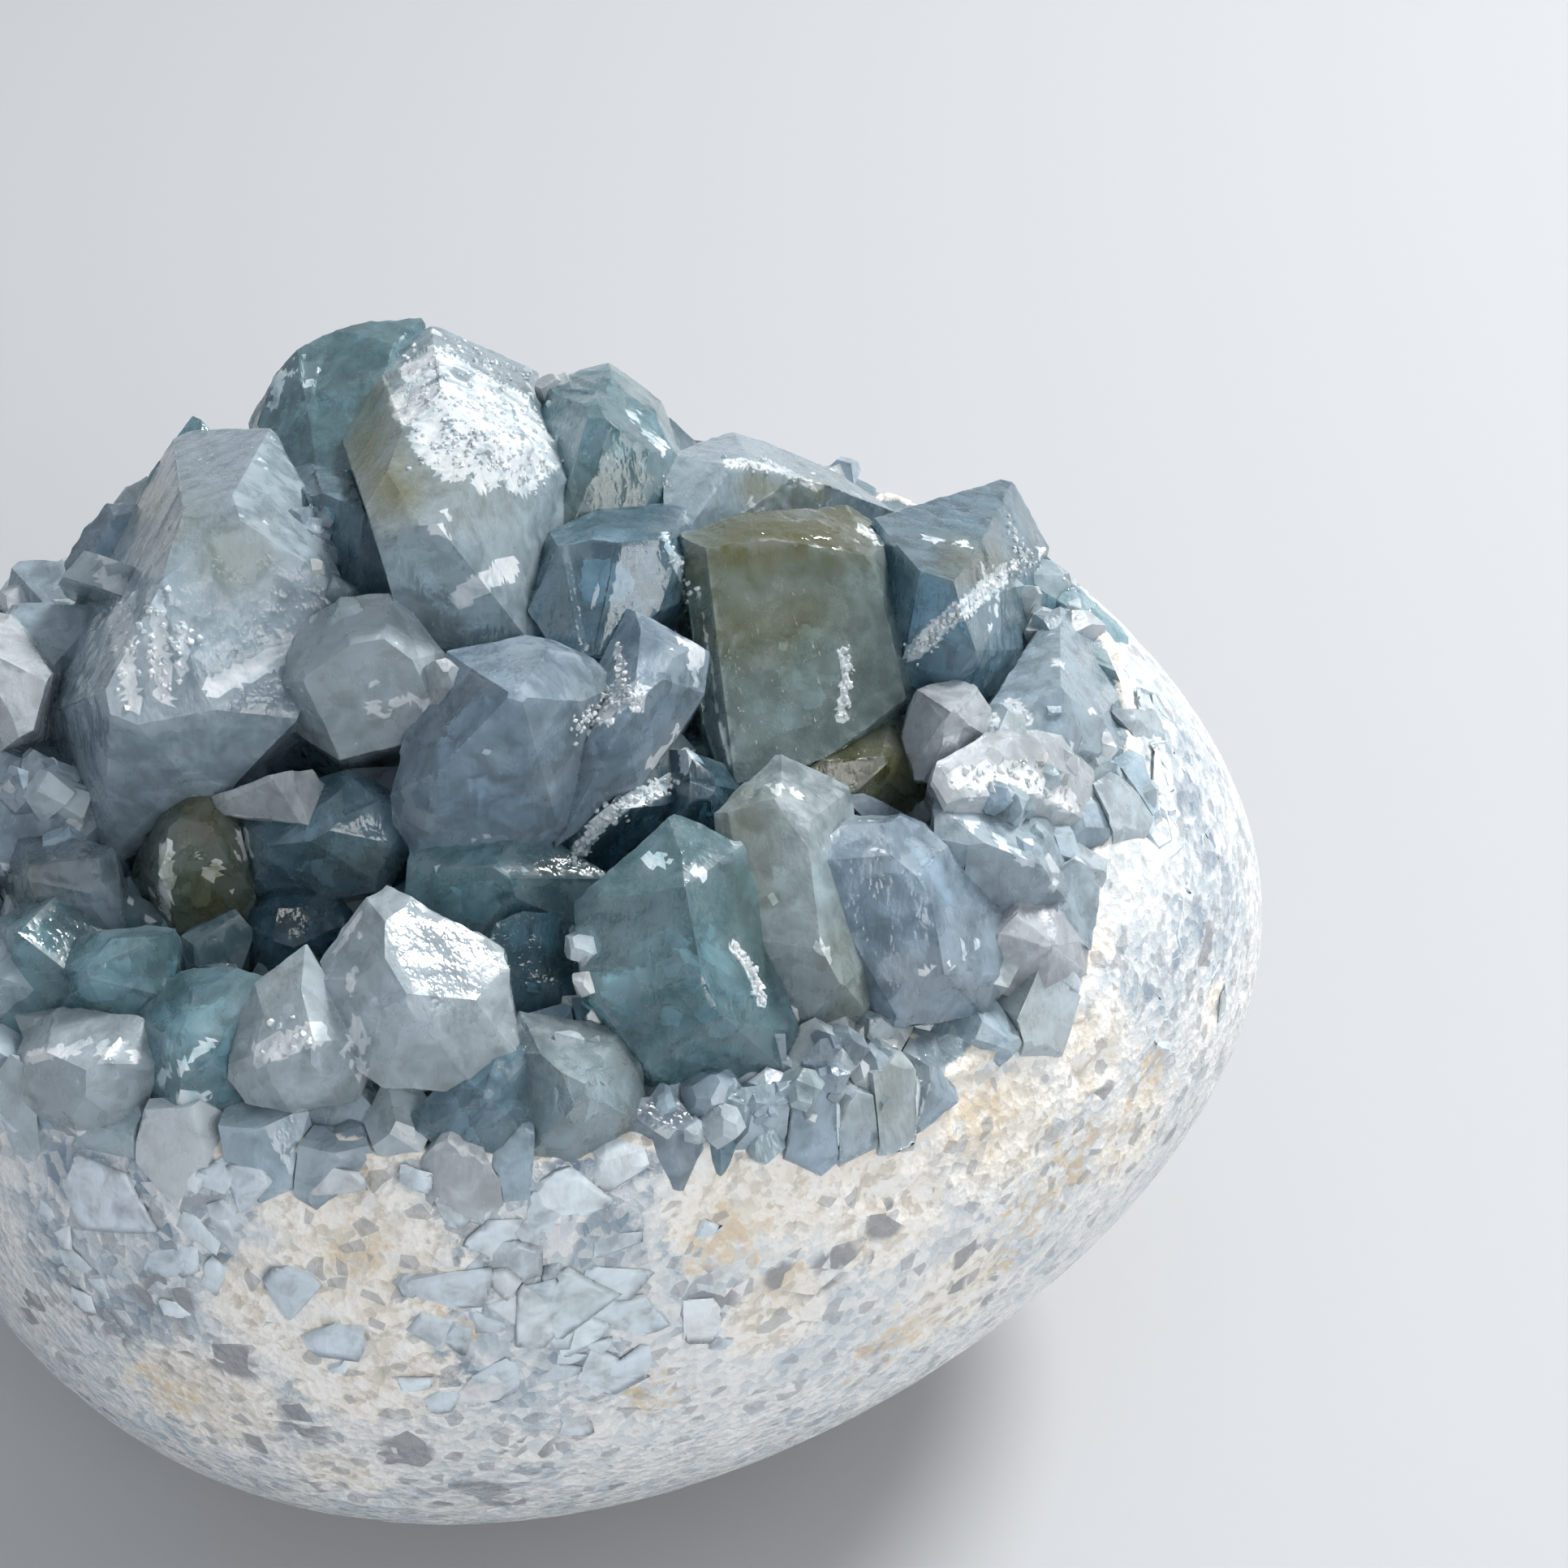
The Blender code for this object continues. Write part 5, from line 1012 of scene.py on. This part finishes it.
def the_stone():
    turns = np.arange(AROUND) * 2 * math.pi / AROUND
    reach, rise = rim_reaches(turns), heights(turns)
    rows = []
    for k in range(1, INNER):
        share = k / INNER
        x, y = CENTRE[0] + reach * share * np.cos(turns), CENTRE[1] + reach * share * np.sin(turns)
        rows.append(np.stack([x, y, bed(x, y)], axis=1))
    start = np.arctan2(reach, rise)
    for k in range(OUTER):
        a = start + (math.pi - start) * k / OUTER
        q = cast_to_shell(np.stack([np.sin(a) * np.cos(turns), np.sin(a) * np.sin(turns), np.cos(a)], axis=1))
        q[:, 2] = np.maximum(q[:, 2], 0.0)
        rows.append(q)
    top = np.array([[CENTRE[0], CENTRE[1], float(bed(CENTRE[0], CENTRE[1]))]])
    bottom = np.array([[CENTRE[0], CENTRE[1], 0.0]])
    p = np.vstack([top] + rows + [bottom])
    n_rows = len(rows)
    i = np.arange(AROUND)
    j = (i + 1) % AROUND
    faces = [np.stack([np.zeros(AROUND, int), 1 + i, 1 + j], axis=1)]
    for r in range(n_rows - 1):
        a, b = 1 + r * AROUND + i, 1 + r * AROUND + j
        c, d = a + AROUND, b + AROUND
        faces += [np.stack([a, c, d], axis=1), np.stack([a, d, b], axis=1)]
    last = 1 + (n_rows - 1) * AROUND
    faces.append(np.stack([last + i, np.full(AROUND, len(p) - 1), last + j], axis=1))
    faces = np.vstack(faces)
    row = np.concatenate([[0], np.repeat(np.arange(1, n_rows + 1), AROUND), [n_rows + 1]])
    inside = row < INNER
    cream, ochre, blue, dark = blobs(p, CREAM), 0.62 * blobs(p, OCHRE, 1.7), blobs(p, BLUE), 0.75 * blobs(p, DARK, 1.2)
    n = outward(p)
    hidden = step(-(n @ view.back), -0.25, 0.10)
    up = p[:, 2] - CENTRE[2]
    high = step(up, -16.0, 12.0)
    own = field(p, 17.0, 81, 2)
    blue = np.maximum(blue, hidden * high * step(own, 0.44, 0.62))
    cream = np.maximum(cream, hidden * step(field(p, 15.0, 91, 2), 0.52, 0.68))
    ochre = np.maximum(ochre, hidden * step(field(p, 7.0, 95, 2), 0.62, 0.76))
    dark = np.maximum(dark, (0.35 + 0.65 * hidden) * step(field(p, 3.2, 99, 1), 0.74, 0.86))
    coarse = np.clip(0.25 + 0.75 * step(up, -14.0, 14.0), 0, 1)
    low = 1 - step(p[:, 2], 8.0, 26.0)
    out = row >= INNER
    from_rim = np.where(out, np.clip((rise.mean() - up), 0, 99), 0)
    # ground and polished, with shallow pits, chips at the rim and rougher sugary patches
    rough = 0.05 + 0.10 * field(p, 1.6, 101, 2) + 0.45 * cream * field(p, 1.1, 103, 3) ** 1.3
    rough += 0.9 * ochre * field(p, 1.5, 105, 3) ** 1.2
    pits = step(field(p, 2.6, 107, 2), 0.70, 0.84) * 0.55
    rim = np.exp(-((np.maximum(row - INNER, 0) * 0.62 / 2.2) ** 2))
    rough += pits + rim * 1.0 * field(p, 2.2, 109, 3)
    flat = step(p[:, 2], 0.0, 1.2)
    seeds, chosen = cut_seeds(p, n, out, blue, up)
    CUT.extend([seeds, chosen])
    cells = field(p, 1.6, 111, 2) + 0.6 * field(p, 0.9, 113, 1)
    moved = p - n * (rough * flat * (1 - 0.55 * np.minimum(blue * 1.3, 1)))[:, None]
    moved[:, 2] = np.maximum(moved[:, 2], 0.0)
    moved[inside] = p[inside] + np.array([0, 0, 1.0]) * (1.6 * (cells[inside] - 0.62))[:, None]
    # cream matrix between the crystals
    bed_cream = np.zeros(len(p))
    uv = pictured(p)
    for u, v, wide in ((722, 1220, 34), (730, 1280, 24), (1000, 1290, 22), (1050, 1330, 24), (220, 1150, 20), (1080, 1370, 30)):
        bed_cream = np.maximum(bed_cream, np.exp(-(np.linalg.norm(uv - [u, v], axis=1) / wide) ** 2))
    bed_cream = np.maximum(bed_cream, 0.6 * step(field(p, 6.0, 115, 2), 0.70, 0.80))
    bed_cream = np.maximum(bed_cream, step(row / INNER, 0.93, 0.99))
    cream = np.where(inside, bed_cream, cream)
    slots = (row[faces].min(axis=1) < INNER - 2).astype(int)
    made = mesh_object("stone_egg", moved, faces, [rock_material(), bed_material()], slots, sharp=0, attributes={"cream": cream, "ochre": ochre, "blue": blue, "dark": dark, "coarse": coarse, "low": low})
    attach(made, "root")
    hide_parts("rock_matrix")
    EVERY_BODY.append((moved, faces))
    return made


stone = the_stone()


# Small crystals ----------------------------------------------------------------------------------------

def templates(number, seed):
    """Small blocky crystals and broken pieces, one unit tall, standing on z = -0.3."""
    rng = np.random.default_rng(seed)
    made = []
    while len(made) < number:
        planes = [np.array([0, 0, -1.0, 0.3])]
        turn = rng.uniform(0, 6.28)
        wide, deep = rng.uniform(0.34, 0.55), rng.uniform(0.26, 0.42)
        for k in range(4):
            a = turn + k * math.pi / 2 + rng.normal(0, 0.14)
            n = np.array([math.cos(a), math.sin(a), rng.uniform(-0.12, 0.10)])
            n /= np.linalg.norm(n)
            planes.append(np.append(n, wide if k % 2 else deep))
        for k in range(4):
            a = turn + k * math.pi / 2 + math.pi / 4 + rng.normal(0, 0.2)
            n = np.array([math.cos(a), math.sin(a), rng.uniform(0.0, 0.3)])
            n /= np.linalg.norm(n)
            planes.append(np.append(n, (wide + deep) * rng.uniform(0.52, 0.70)))
        for k in range(4):
            a = turn + k * math.pi / 2 + rng.normal(0, 0.35)
            slope = rng.uniform(0.35, 1.1)
            n = np.array([math.cos(a) * math.sin(slope), math.sin(a) * math.sin(slope), math.cos(slope)])
            planes.append(np.append(n, n[2] * rng.uniform(0.45, 0.75)))
        for _ in range(5):
            n = rng.normal(0, 1, 3)
            n[2] = abs(n[2])
            n /= np.linalg.norm(n)
            planes.append(np.append(n, rng.uniform(0.42, 0.60)))
        p = corners(np.array(planes))
        if len(p) < 8:
            continue
        p, faces = hull_of(p)
        made.append(fanned(p, faces))
    return made


TEMPLATES = templates(36, 11)
GRAINS = templates(14, 23)


class Cluster:
    """Many small crystals joined in one mesh."""

    def __init__(self, name, kinds, slot):
        self.name, self.kinds, self.slot = name, kinds, slot
        self.p, self.faces, self.slots, self.tone, self.frost, self.owners = [], [], [], [], [], []
        self.count, self.owned, self.edges = 0, 0, []

    def join(self, p, faces, owner, edge, kind, tone, frost):
        self.p.append(p)
        self.faces.append(faces + self.count)
        self.owners.append(owner + self.owned)
        self.count += len(p)
        self.owned += int(owner.max()) + 1
        self.slots.append(np.full(len(faces), kind))
        self.tone.append(np.full(len(p), tone))
        self.frost.append(frost)
        self.edges.append(edge)

    def put(self, at, axis, size, rng, kind=0, tone=0.5, frost=0.2, pool=TEMPLATES, stretch=1.0):
        p, faces, owner = pool[rng.integers(len(pool))]
        shape = np.array([size, size, size * stretch])
        q = (p * shape) @ turned(axis, rng.uniform(0, 6.28)).T + at
        self.join(q, faces, owner, np.full(len(q), 0.15), kind, tone, np.clip(frost + 0.3 * (field(q, 0.8, 5) - 0.5), 0, 1))

    def finish(self, solid=True):
        """Makes the joined mesh."""
        if not self.p:
            return
        p, faces = np.vstack(self.p), np.vstack(self.faces)
        made = mesh_object(self.name, p, faces, self.kinds, np.concatenate(self.slots), sharp=0, owner=np.concatenate(self.owners), facets=etchings(self.owned, np.random.default_rng(self.count))[np.concatenate(self.owners)], attributes={"edge": np.concatenate(self.edges), "frost": np.concatenate(self.frost), "olive": 0.2 * step(field(p, 6.0, 41, 2), 0.55, 0.75), "tone": np.concatenate(self.tone)})
        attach(made, "root")
        if solid:
            EVERY_BODY.append((p, faces))
        return made


def small(kind, frosted=False):
    key = (kind, frosted)
    if key not in small_materials:
        body_colour, clear, rough, tint, dense = LOOKS[kind]
        small_materials[key] = celestite("small_" + kind + ("_crusted" if frosted else ""), body_colour, clear * 0.75, rough, tint, dense, frosted=frosted, small=True)
    return small_materials[key]


def tree_of_bodies():
    base, points, faces = 0, [], []
    for p, f in EVERY_BODY:
        points.append(p)
        faces.append(f + base)
        base += len(p)
    return BVHTree.FromPolygons(np.vstack(points).tolist(), np.vstack(faces).tolist(), all_triangles=True)


def hit(tree, origin, direction):
    at, normal, _, _ = tree.ray_cast(Vector(origin), Vector(direction))
    return (None, None) if at is None else (np.array(at), np.array(normal))


rng = np.random.default_rng(5)


def rim_reach_quick(turn):
    return float(np.interp(math.degrees(turn) % 360, TURNS, REACHES))



# Small crystals grown side by side: over the bed, along the rim and, cut flush, in the ground outside

def cell(at, others, axis, high, wide, rng, top=None):
    """One of the side-by-side crystals: the space nearer to it than to the others, under a few slanting faces."""
    planes = []
    apart = np.linalg.norm(others - at, axis=1)
    for k in np.argsort(apart)[:13]:
        if 0.01 < apart[k] < 2.2 * wide:
            m = (others[k] - at) / apart[k]
            planes.append(np.append(m, m @ (at + others[k]) / 2 - (0.012 if high is None else rng.uniform(0.012, 0.10))))
    spin = rng.uniform(0, 1)
    for k in range(6):
        m = turned(axis, spin + k * 1.047)[:, 0]
        planes.append(np.append(m, m @ at + wide))
    planes.append(np.append(-axis, -(axis @ at) + rng.uniform(2.4, 3.2)))
    if high is not None:
        spin = rng.uniform(0, 6.28)
        for k, slope in enumerate((rng.uniform(0.05, 0.35), rng.uniform(0.35, 0.8), rng.uniform(0.5, 0.9), rng.uniform(0.6, 1.1))):
            about = turned(axis, spin + k * 1.7 + rng.uniform(-0.4, 0.4))
            lid = about[:, 0] * math.sin(slope) + axis * math.cos(slope)
            planes.append(np.append(lid, lid @ (at + axis * high + about[:, 1] * rng.uniform(-0.3, 0.3) * wide + about[:, 0] * rng.uniform(0.0, 0.3) * wide)))
    else:
        planes.append(np.append(axis, axis @ at + 2.0))
    if top is not None:
        planes.append(top)
    own = corners(np.array(planes))
    if len(own) < 5 or np.ptp(own, axis=0).min() < 0.3:
        return None
    p, faces, owner = fanned(*hull_of(own))
    if (shell(p) > 1.0).any():
        p, faces, owner = refine(p, faces, owner, 1.0)
        over = shell(p)
        p = np.where((over > 1.0)[:, None], CENTRE + (p - CENTRE) / over[:, None] * 1.0006, p)
        owner = np.where((over[faces] > 1.0).all(axis=1), owner.max() + 1, owner)
    planes = np.array(planes)
    g = p @ planes[:, :3].T - planes[:, 3]
    second = np.sort(g, axis=1)[:, -2] if high is not None else g[:, :-2].max(axis=1)
    return p, faces, owner, np.exp(second.clip(-9, 0) / 0.30)


seeds, chosen = CUT
ground = [(q, True) for q in seeds[chosen]]
bed_seeds = []
for _ in range(9000):
    x, y = rng.uniform(-46, 60), rng.uniform(-42, 42)
    turn = math.atan2(y - CENTRE[1], x - CENTRE[0])
    share = math.hypot(x - CENTRE[0], y - CENTRE[1]) / rim_reach_quick(turn)
    if share > 0.985:
        continue
    at = np.array([x, y, float(bed(x, y)) + rng.uniform(-0.3, 0.6)])
    gap = 1.7 + 2.2 * field(at[None], 6.0, 151)[0] + 0.8 * (share < 0.7)
    if all(np.linalg.norm(at - q) > gap for q, _, _ in bed_seeds):
        bed_seeds.append((at, share, turn))
every = np.array([q for q, _, _ in bed_seeds])

druse_kinds = ["navy", "teal", "deep", "milky", "smoky", "pale", "white", "lilac", "pale_teal", "rose"]
druse = Cluster("small_crystals_bed", [small(k) for k in druse_kinds], "celestite_deep")
rim = Cluster("small_crystals_rim", [small(k) for k in druse_kinds], "celestite_pale")
for at, share, turn in bed_seeds:
    up = (at - fan_point) / np.linalg.norm(at - fan_point)
    axis = up + rng.normal(0, 0.22, 3)
    axis /= np.linalg.norm(axis)
    front = at[1] < CENTRE[1] + 2
    # darker kinds are favoured over the inner bed and paler ones at the rim: painted shade of the deep bed, on top of
    # the crystals' own colours
    if share < 0.74:
        high, mix, into = rng.uniform(1.8, 7.0) * (0.45 if float(bed(at[0], at[1])) < CENTRE[2] + BED_FLOOR + 0.5 else 1.0), [0.2, 0.28, 0.2, 0.14, 0.08, 0.02, 0.02, 0.02, 0.04, 0.0], druse
    else:
        high = rng.uniform(0.6, 2.6) if front and share > 0.86 else rng.uniform(0.8, 3.0) if front else rng.uniform(1.0, 3.8)
        mix, into = [0.01, 0.04, 0.06, 0.24, 0.04, 0.22, 0.14, 0.12, 0.10, 0.03], rim
    made = cell(at, every, axis, high, 2.9, rng)
    if made is not None:
        into.join(*made, rng.choice(10, p=mix), rng.uniform(0.1, 1.0), np.clip(rng.uniform(0.0, 0.5) + 0.5 * (field(made[0], 0.9, 5, 2) - 0.5), 0, 1))
druse.finish()
rim.finish()

# colours of the crystals cut through by the ground surface
GROUND = [(0.72, 0.79, 0.83), (0.62, 0.70, 0.76), (0.84, 0.87, 0.88), (0.66, 0.73, 0.80), (0.68, 0.77, 0.79), (0.46, 0.54, 0.60), (0.46, 0.51, 0.55), (0.76, 0.76, 0.76)]
cut = Cluster("cut_crystals", [celestite("ground_%d" % k, colour, 0.0, 0.16, colour, 0.0, small=True, ground=True) for k, colour in enumerate(GROUND)], "celestite_pale")


def ground_grain(at, n, size, rng):
    """An angular crystal in the stone, ground off level with the egg."""
    about = turned(n, rng.uniform(0, 6.28))
    long = rng.uniform(1.0, 1.9)
    planes = [np.append(n, n @ at + 2.0), np.append(-n, -(n @ at) + rng.uniform(0.9, 1.6))]
    for k in range(rng.integers(4, 7)):
        a = k * 6.28 / 5 + rng.uniform(-0.5, 0.5)
        m = about @ np.array([math.cos(a), math.sin(a), rng.uniform(-0.5, 0.5)])
        m /= np.linalg.norm(m)
        planes.append(np.append(m, m @ at + size * rng.uniform(0.5, 1.0) * (long if abs(math.cos(a)) > 0.7 else 1.0)))
    for k in range(4):
        m = about @ np.array([math.cos(k * 1.571), math.sin(k * 1.571), 0.0])
        planes.append(np.append(m, m @ at + 2.0 * size))
    turn = math.atan2(at[1] - CENTRE[1], at[0] - CENTRE[0])
    planes.append(np.array([0, 0, 1.0, CENTRE[2] + rim_height(turn) + rng.uniform(-0.2, 0.9)]))
    own = corners(np.array(planes))
    if len(own) < 5 or np.ptp(own, axis=0).min() < 0.2:
        return
    p, faces, owner = refine(*fanned(*hull_of(own)), 1.2)
    level = 1.0 + rng.uniform(-0.0014, -0.0003)
    over = shell(p)
    p = np.where((over > level)[:, None], CENTRE + (p - CENTRE) / over[:, None] * level, p)
    planes = np.array(planes)[2:]
    edge = np.exp((p @ planes[:, :3].T - planes[:, 3]).max(axis=1).clip(-9, 0) / 0.25)
    owner = np.where((over[faces] > level).all(axis=1), owner.max() + 1, owner)
    cut.join(p, faces, owner, 0.5 * edge, rng.choice(8, p=[0.14, 0.20, 0.16, 0.10, 0.08, 0.12, 0.14, 0.06]), rng.uniform(0.0, 1.0), np.clip(rng.uniform(0.0, 0.7) + 1.6 * (field(p, 1.0, 5, 3) - 0.5), 0, 1))


for at in seeds[chosen]:
    ground_grain(at, outward(at[None])[0], rng.uniform(0.50, 1.0) if rng.random() < 0.75 else rng.uniform(1.0, 1.6), rng)
cut.finish()

bodies = tree_of_bodies()

# clusters seen in the photo between the large crystals and the polished outside: where, how many, sizes, kinds
pale_sets = Cluster("small_crystals_front", [small("pale"), small("milky"), small("white"), small("lilac"), small("smoky"), small("pale_teal"), small("white", True), small("rose")], "celestite_white")
AREAS = [
    ([(770, 1330), (1000, 1320), (1010, 1400), (790, 1420)], 22, (1.6, 3.2), [0.15, 0.2, 0.15, 0.1, 0.3, 0.1, 0.0, 0.0]),
    ([(960, 1270), (1110, 1255), (1110, 1360), (970, 1350)], 20, (1.4, 2.8), [0.05, 0.15, 0.1, 0.1, 0.5, 0.1, 0.0, 0.0]),
    ([(1220, 880), (1400, 860), (1420, 1000), (1330, 1120), (1200, 1000)], 26, (1.6, 3.4), [0.15, 0.3, 0.2, 0.1, 0.05, 0.1, 0.1, 0.0]),
    ([(0, 930), (60, 930), (100, 1030), (0, 1060)], 12, (2.0, 3.8), [0.2, 0.3, 0.2, 0.1, 0.1, 0.1, 0.0, 0.0]),
    ([(700, 1150), (735, 1140), (745, 1280), (700, 1290)], 8, (1.0, 2.0), [0.1, 0.1, 0.3, 0.0, 0.2, 0.0, 0.3, 0.0]),
    ([(370, 640), (400, 620), (430, 760), (385, 760)], 10, (1.2, 2.6), [0.1, 0.4, 0.2, 0.1, 0.1, 0.1, 0.0, 0.0]),
    ([(640, 440), (720, 440), (700, 480), (640, 480)], 10, (1.0, 2.2), [0.2, 0.2, 0.4, 0.0, 0.0, 0.0, 0.2, 0.0]),
]


def in_area(area, rng):
    """A random point of a four- or five-sided area."""
    a = np.array(area, float)
    k = rng.integers(1, len(a) - 1)
    s, t = rng.random(2)
    if s + t > 1:
        s, t = 1 - s, 1 - t
    return a[0] + s * (a[k] - a[0]) + t * (a[k + 1] - a[0])


for area, number, sizes, mix in AREAS:
    for _ in range(number):
        u, v = in_area(area, rng)
        at, normal = hit(bodies, view.eye, view.ray(u, v))
        if at is None or shell(at) > 1.03:
            continue
        axis = normal * 0.55 + (at - fan_point) / np.linalg.norm(at - fan_point) * 0.6 + rng.normal(0, 0.3, 3)
        size = rng.uniform(*sizes)
        tip = at + axis / np.linalg.norm(axis) * size * 0.5
        if shell(tip) > 1.02:
            size *= 0.5
        pale_sets.put(at - axis / np.linalg.norm(axis) * size * 0.28, axis, size, rng, rng.choice(8, p=mix), tone=rng.uniform(0.2, 1.0), frost=rng.uniform(0.0, 0.6), stretch=rng.uniform(0.75, 1.2))
pale_sets.finish()

# the same round the back and the far end, low between the crystals
back_sets = Cluster("small_crystals_back", [small("pale"), small("milky"), small("white"), small("lilac"), small("teal")], "celestite_milky")
for _ in range(160):
    turn, share = rng.uniform(0, 2 * math.pi), rng.uniform(0.70, 0.98)
    reach = rim_reach(turn) * share
    spot = np.array([CENTRE[0] + reach * math.cos(turn), CENTRE[1] + reach * math.sin(turn), CENTRE[2] + 60])
    if spot[1] < CENTRE[1] - 4:
        continue
    at, normal = hit(bodies, spot, (0, 0, -1.0))
    if at is None or at[2] > float(bed(at[0], at[1])) + 5.5:
        continue
    axis = normal * 0.6 + np.array([0, 0, 0.6]) + rng.normal(0, 0.3, 3)
    size = rng.uniform(1.4, 3.4)
    back_sets.put(at - axis / np.linalg.norm(axis) * size * 0.28, axis, size, rng, rng.choice(5, p=[0.25, 0.3, 0.2, 0.1, 0.15]), tone=rng.uniform(0.2, 1.0), frost=rng.uniform(0.0, 0.6), stretch=rng.uniform(0.75, 1.2))
back_sets.finish()

# white crust grains on the crystals
crumbs = Cluster("crust_grains", [small("white", True), small("white")], "celestite_white")
for name, lines in CRUSTS.items():
    for line, wide, strength, number in lines:
        line, number = np.array(line, float), int(number * 1.0) if strength > 0.65 else 0
        for _ in range(number):
            k = rng.integers(len(line) - 1)
            u, v = line[k] + (line[k + 1] - line[k]) * rng.random() + rng.normal(0, wide * 0.5, 2)
            at, normal = hit(bodies, view.eye, view.ray(u, v))
            if at is None:
                continue
            crumbs.put(at, normal + rng.normal(0, 0.5, 3), rng.uniform(0.15, 0.48), rng, rng.integers(2), tone=1.0, frost=0.9, pool=GRAINS, stretch=rng.uniform(0.6, 1.0))
crumbs.finish(solid=False)


# Floor, lights and camera --------------------------------------------------------------------------------

floor_material, floor_tree, floor_shader, _ = new_material("pale_floor")
floor_shader.inputs["Base Color"].default_value = (0.50, 0.515, 0.54, 1)
floor_shader.inputs["Roughness"].default_value = 0.65
floor_p = np.array([[-2500, -2500, 0], [2500, -2500, 0], [2500, 2500, 0], [-2500, 2500, 0]], float)
floor = mesh_object("pale_floor", floor_p, np.array([[0, 1, 2], [0, 2, 3]]), [floor_material], smooth=False)

world = bpy.data.worlds.new("soft_room")
bpy.context.scene.world = world
world.use_nodes = True
sky = world.node_tree.nodes["Background"]
sky_tree = world.node_tree
way = add(sky_tree, "ShaderNodeSeparateXYZ", {0: add(sky_tree, "ShaderNodeTexCoord").outputs["Generated"]})
lift = maths(sky_tree, "ADD", maths(sky_tree, "MULTIPLY", way.outputs["Z"], 0.7), maths(sky_tree, "ADD", maths(sky_tree, "MULTIPLY", way.outputs["Y"], 0.35), maths(sky_tree, "MULTIPLY", way.outputs["X"], 0.25)))
sky_tree.links.new(blend(sky_tree, mapped(sky_tree, lift, -0.3, 0.9), (0.46, 0.51, 0.58), (1.17, 1.22, 1.28)), sky.inputs["Color"])
sky.inputs["Strength"].default_value = 0.42


def lamp(name, place, size, power, colour=(1, 1, 1), aim=(5, 0, 40)):
    data = bpy.data.lights.new(name, "AREA")
    data.shape, data.size, data.energy, data.color = "DISK", size, power, colour
    made = bpy.data.objects.new(name, data)
    made.location = Vector(place) * MM
    made.rotation_euler = (Vector(aim) - Vector(place)).to_track_quat("-Z", "Y").to_euler()
    bpy.context.scene.collection.objects.link(made)
    return made


lamp("key", (520, 260, 700), 0.30, 7.9, (1.0, 0.985, 0.96))
lamp("fill_left", (-600, -350, 500), 0.5, 0.45, (0.95, 0.97, 1.0))
lamp("fill_front", (250, -700, 420), 0.5, 2.7, (1.0, 0.985, 0.965))

camera_data = bpy.data.cameras.new("camera")
camera_data.sensor_width = 36.0
camera_data.lens = 18.0 / math.tan(math.radians(VIEW_FIELD / 2))
camera_data.shift_x = -(VIEW_U - VIEW_SIDE / 2) / VIEW_SIDE
camera_data.shift_y = (VIEW_V - VIEW_SIDE / 2) / VIEW_SIDE
camera_data.clip_start, camera_data.clip_end = 0.005, 20.0
camera = bpy.data.objects.new("camera", camera_data)
camera.location = Vector(view.eye) * MM
camera.rotation_euler = (-Vector(view.back)).to_track_quat("-Z", "Y").to_euler()
bpy.context.scene.collection.objects.link(camera)
bpy.context.scene.camera = camera
bpy.context.scene.view_settings.view_transform = "Standard"
cycles = bpy.context.scene.cycles
cycles.max_bounces, cycles.diffuse_bounces, cycles.glossy_bounces, cycles.transmission_bounces = 6, 2, 2, 5
cycles.caustics_reflective = False
cycles.adaptive_threshold = 0.2
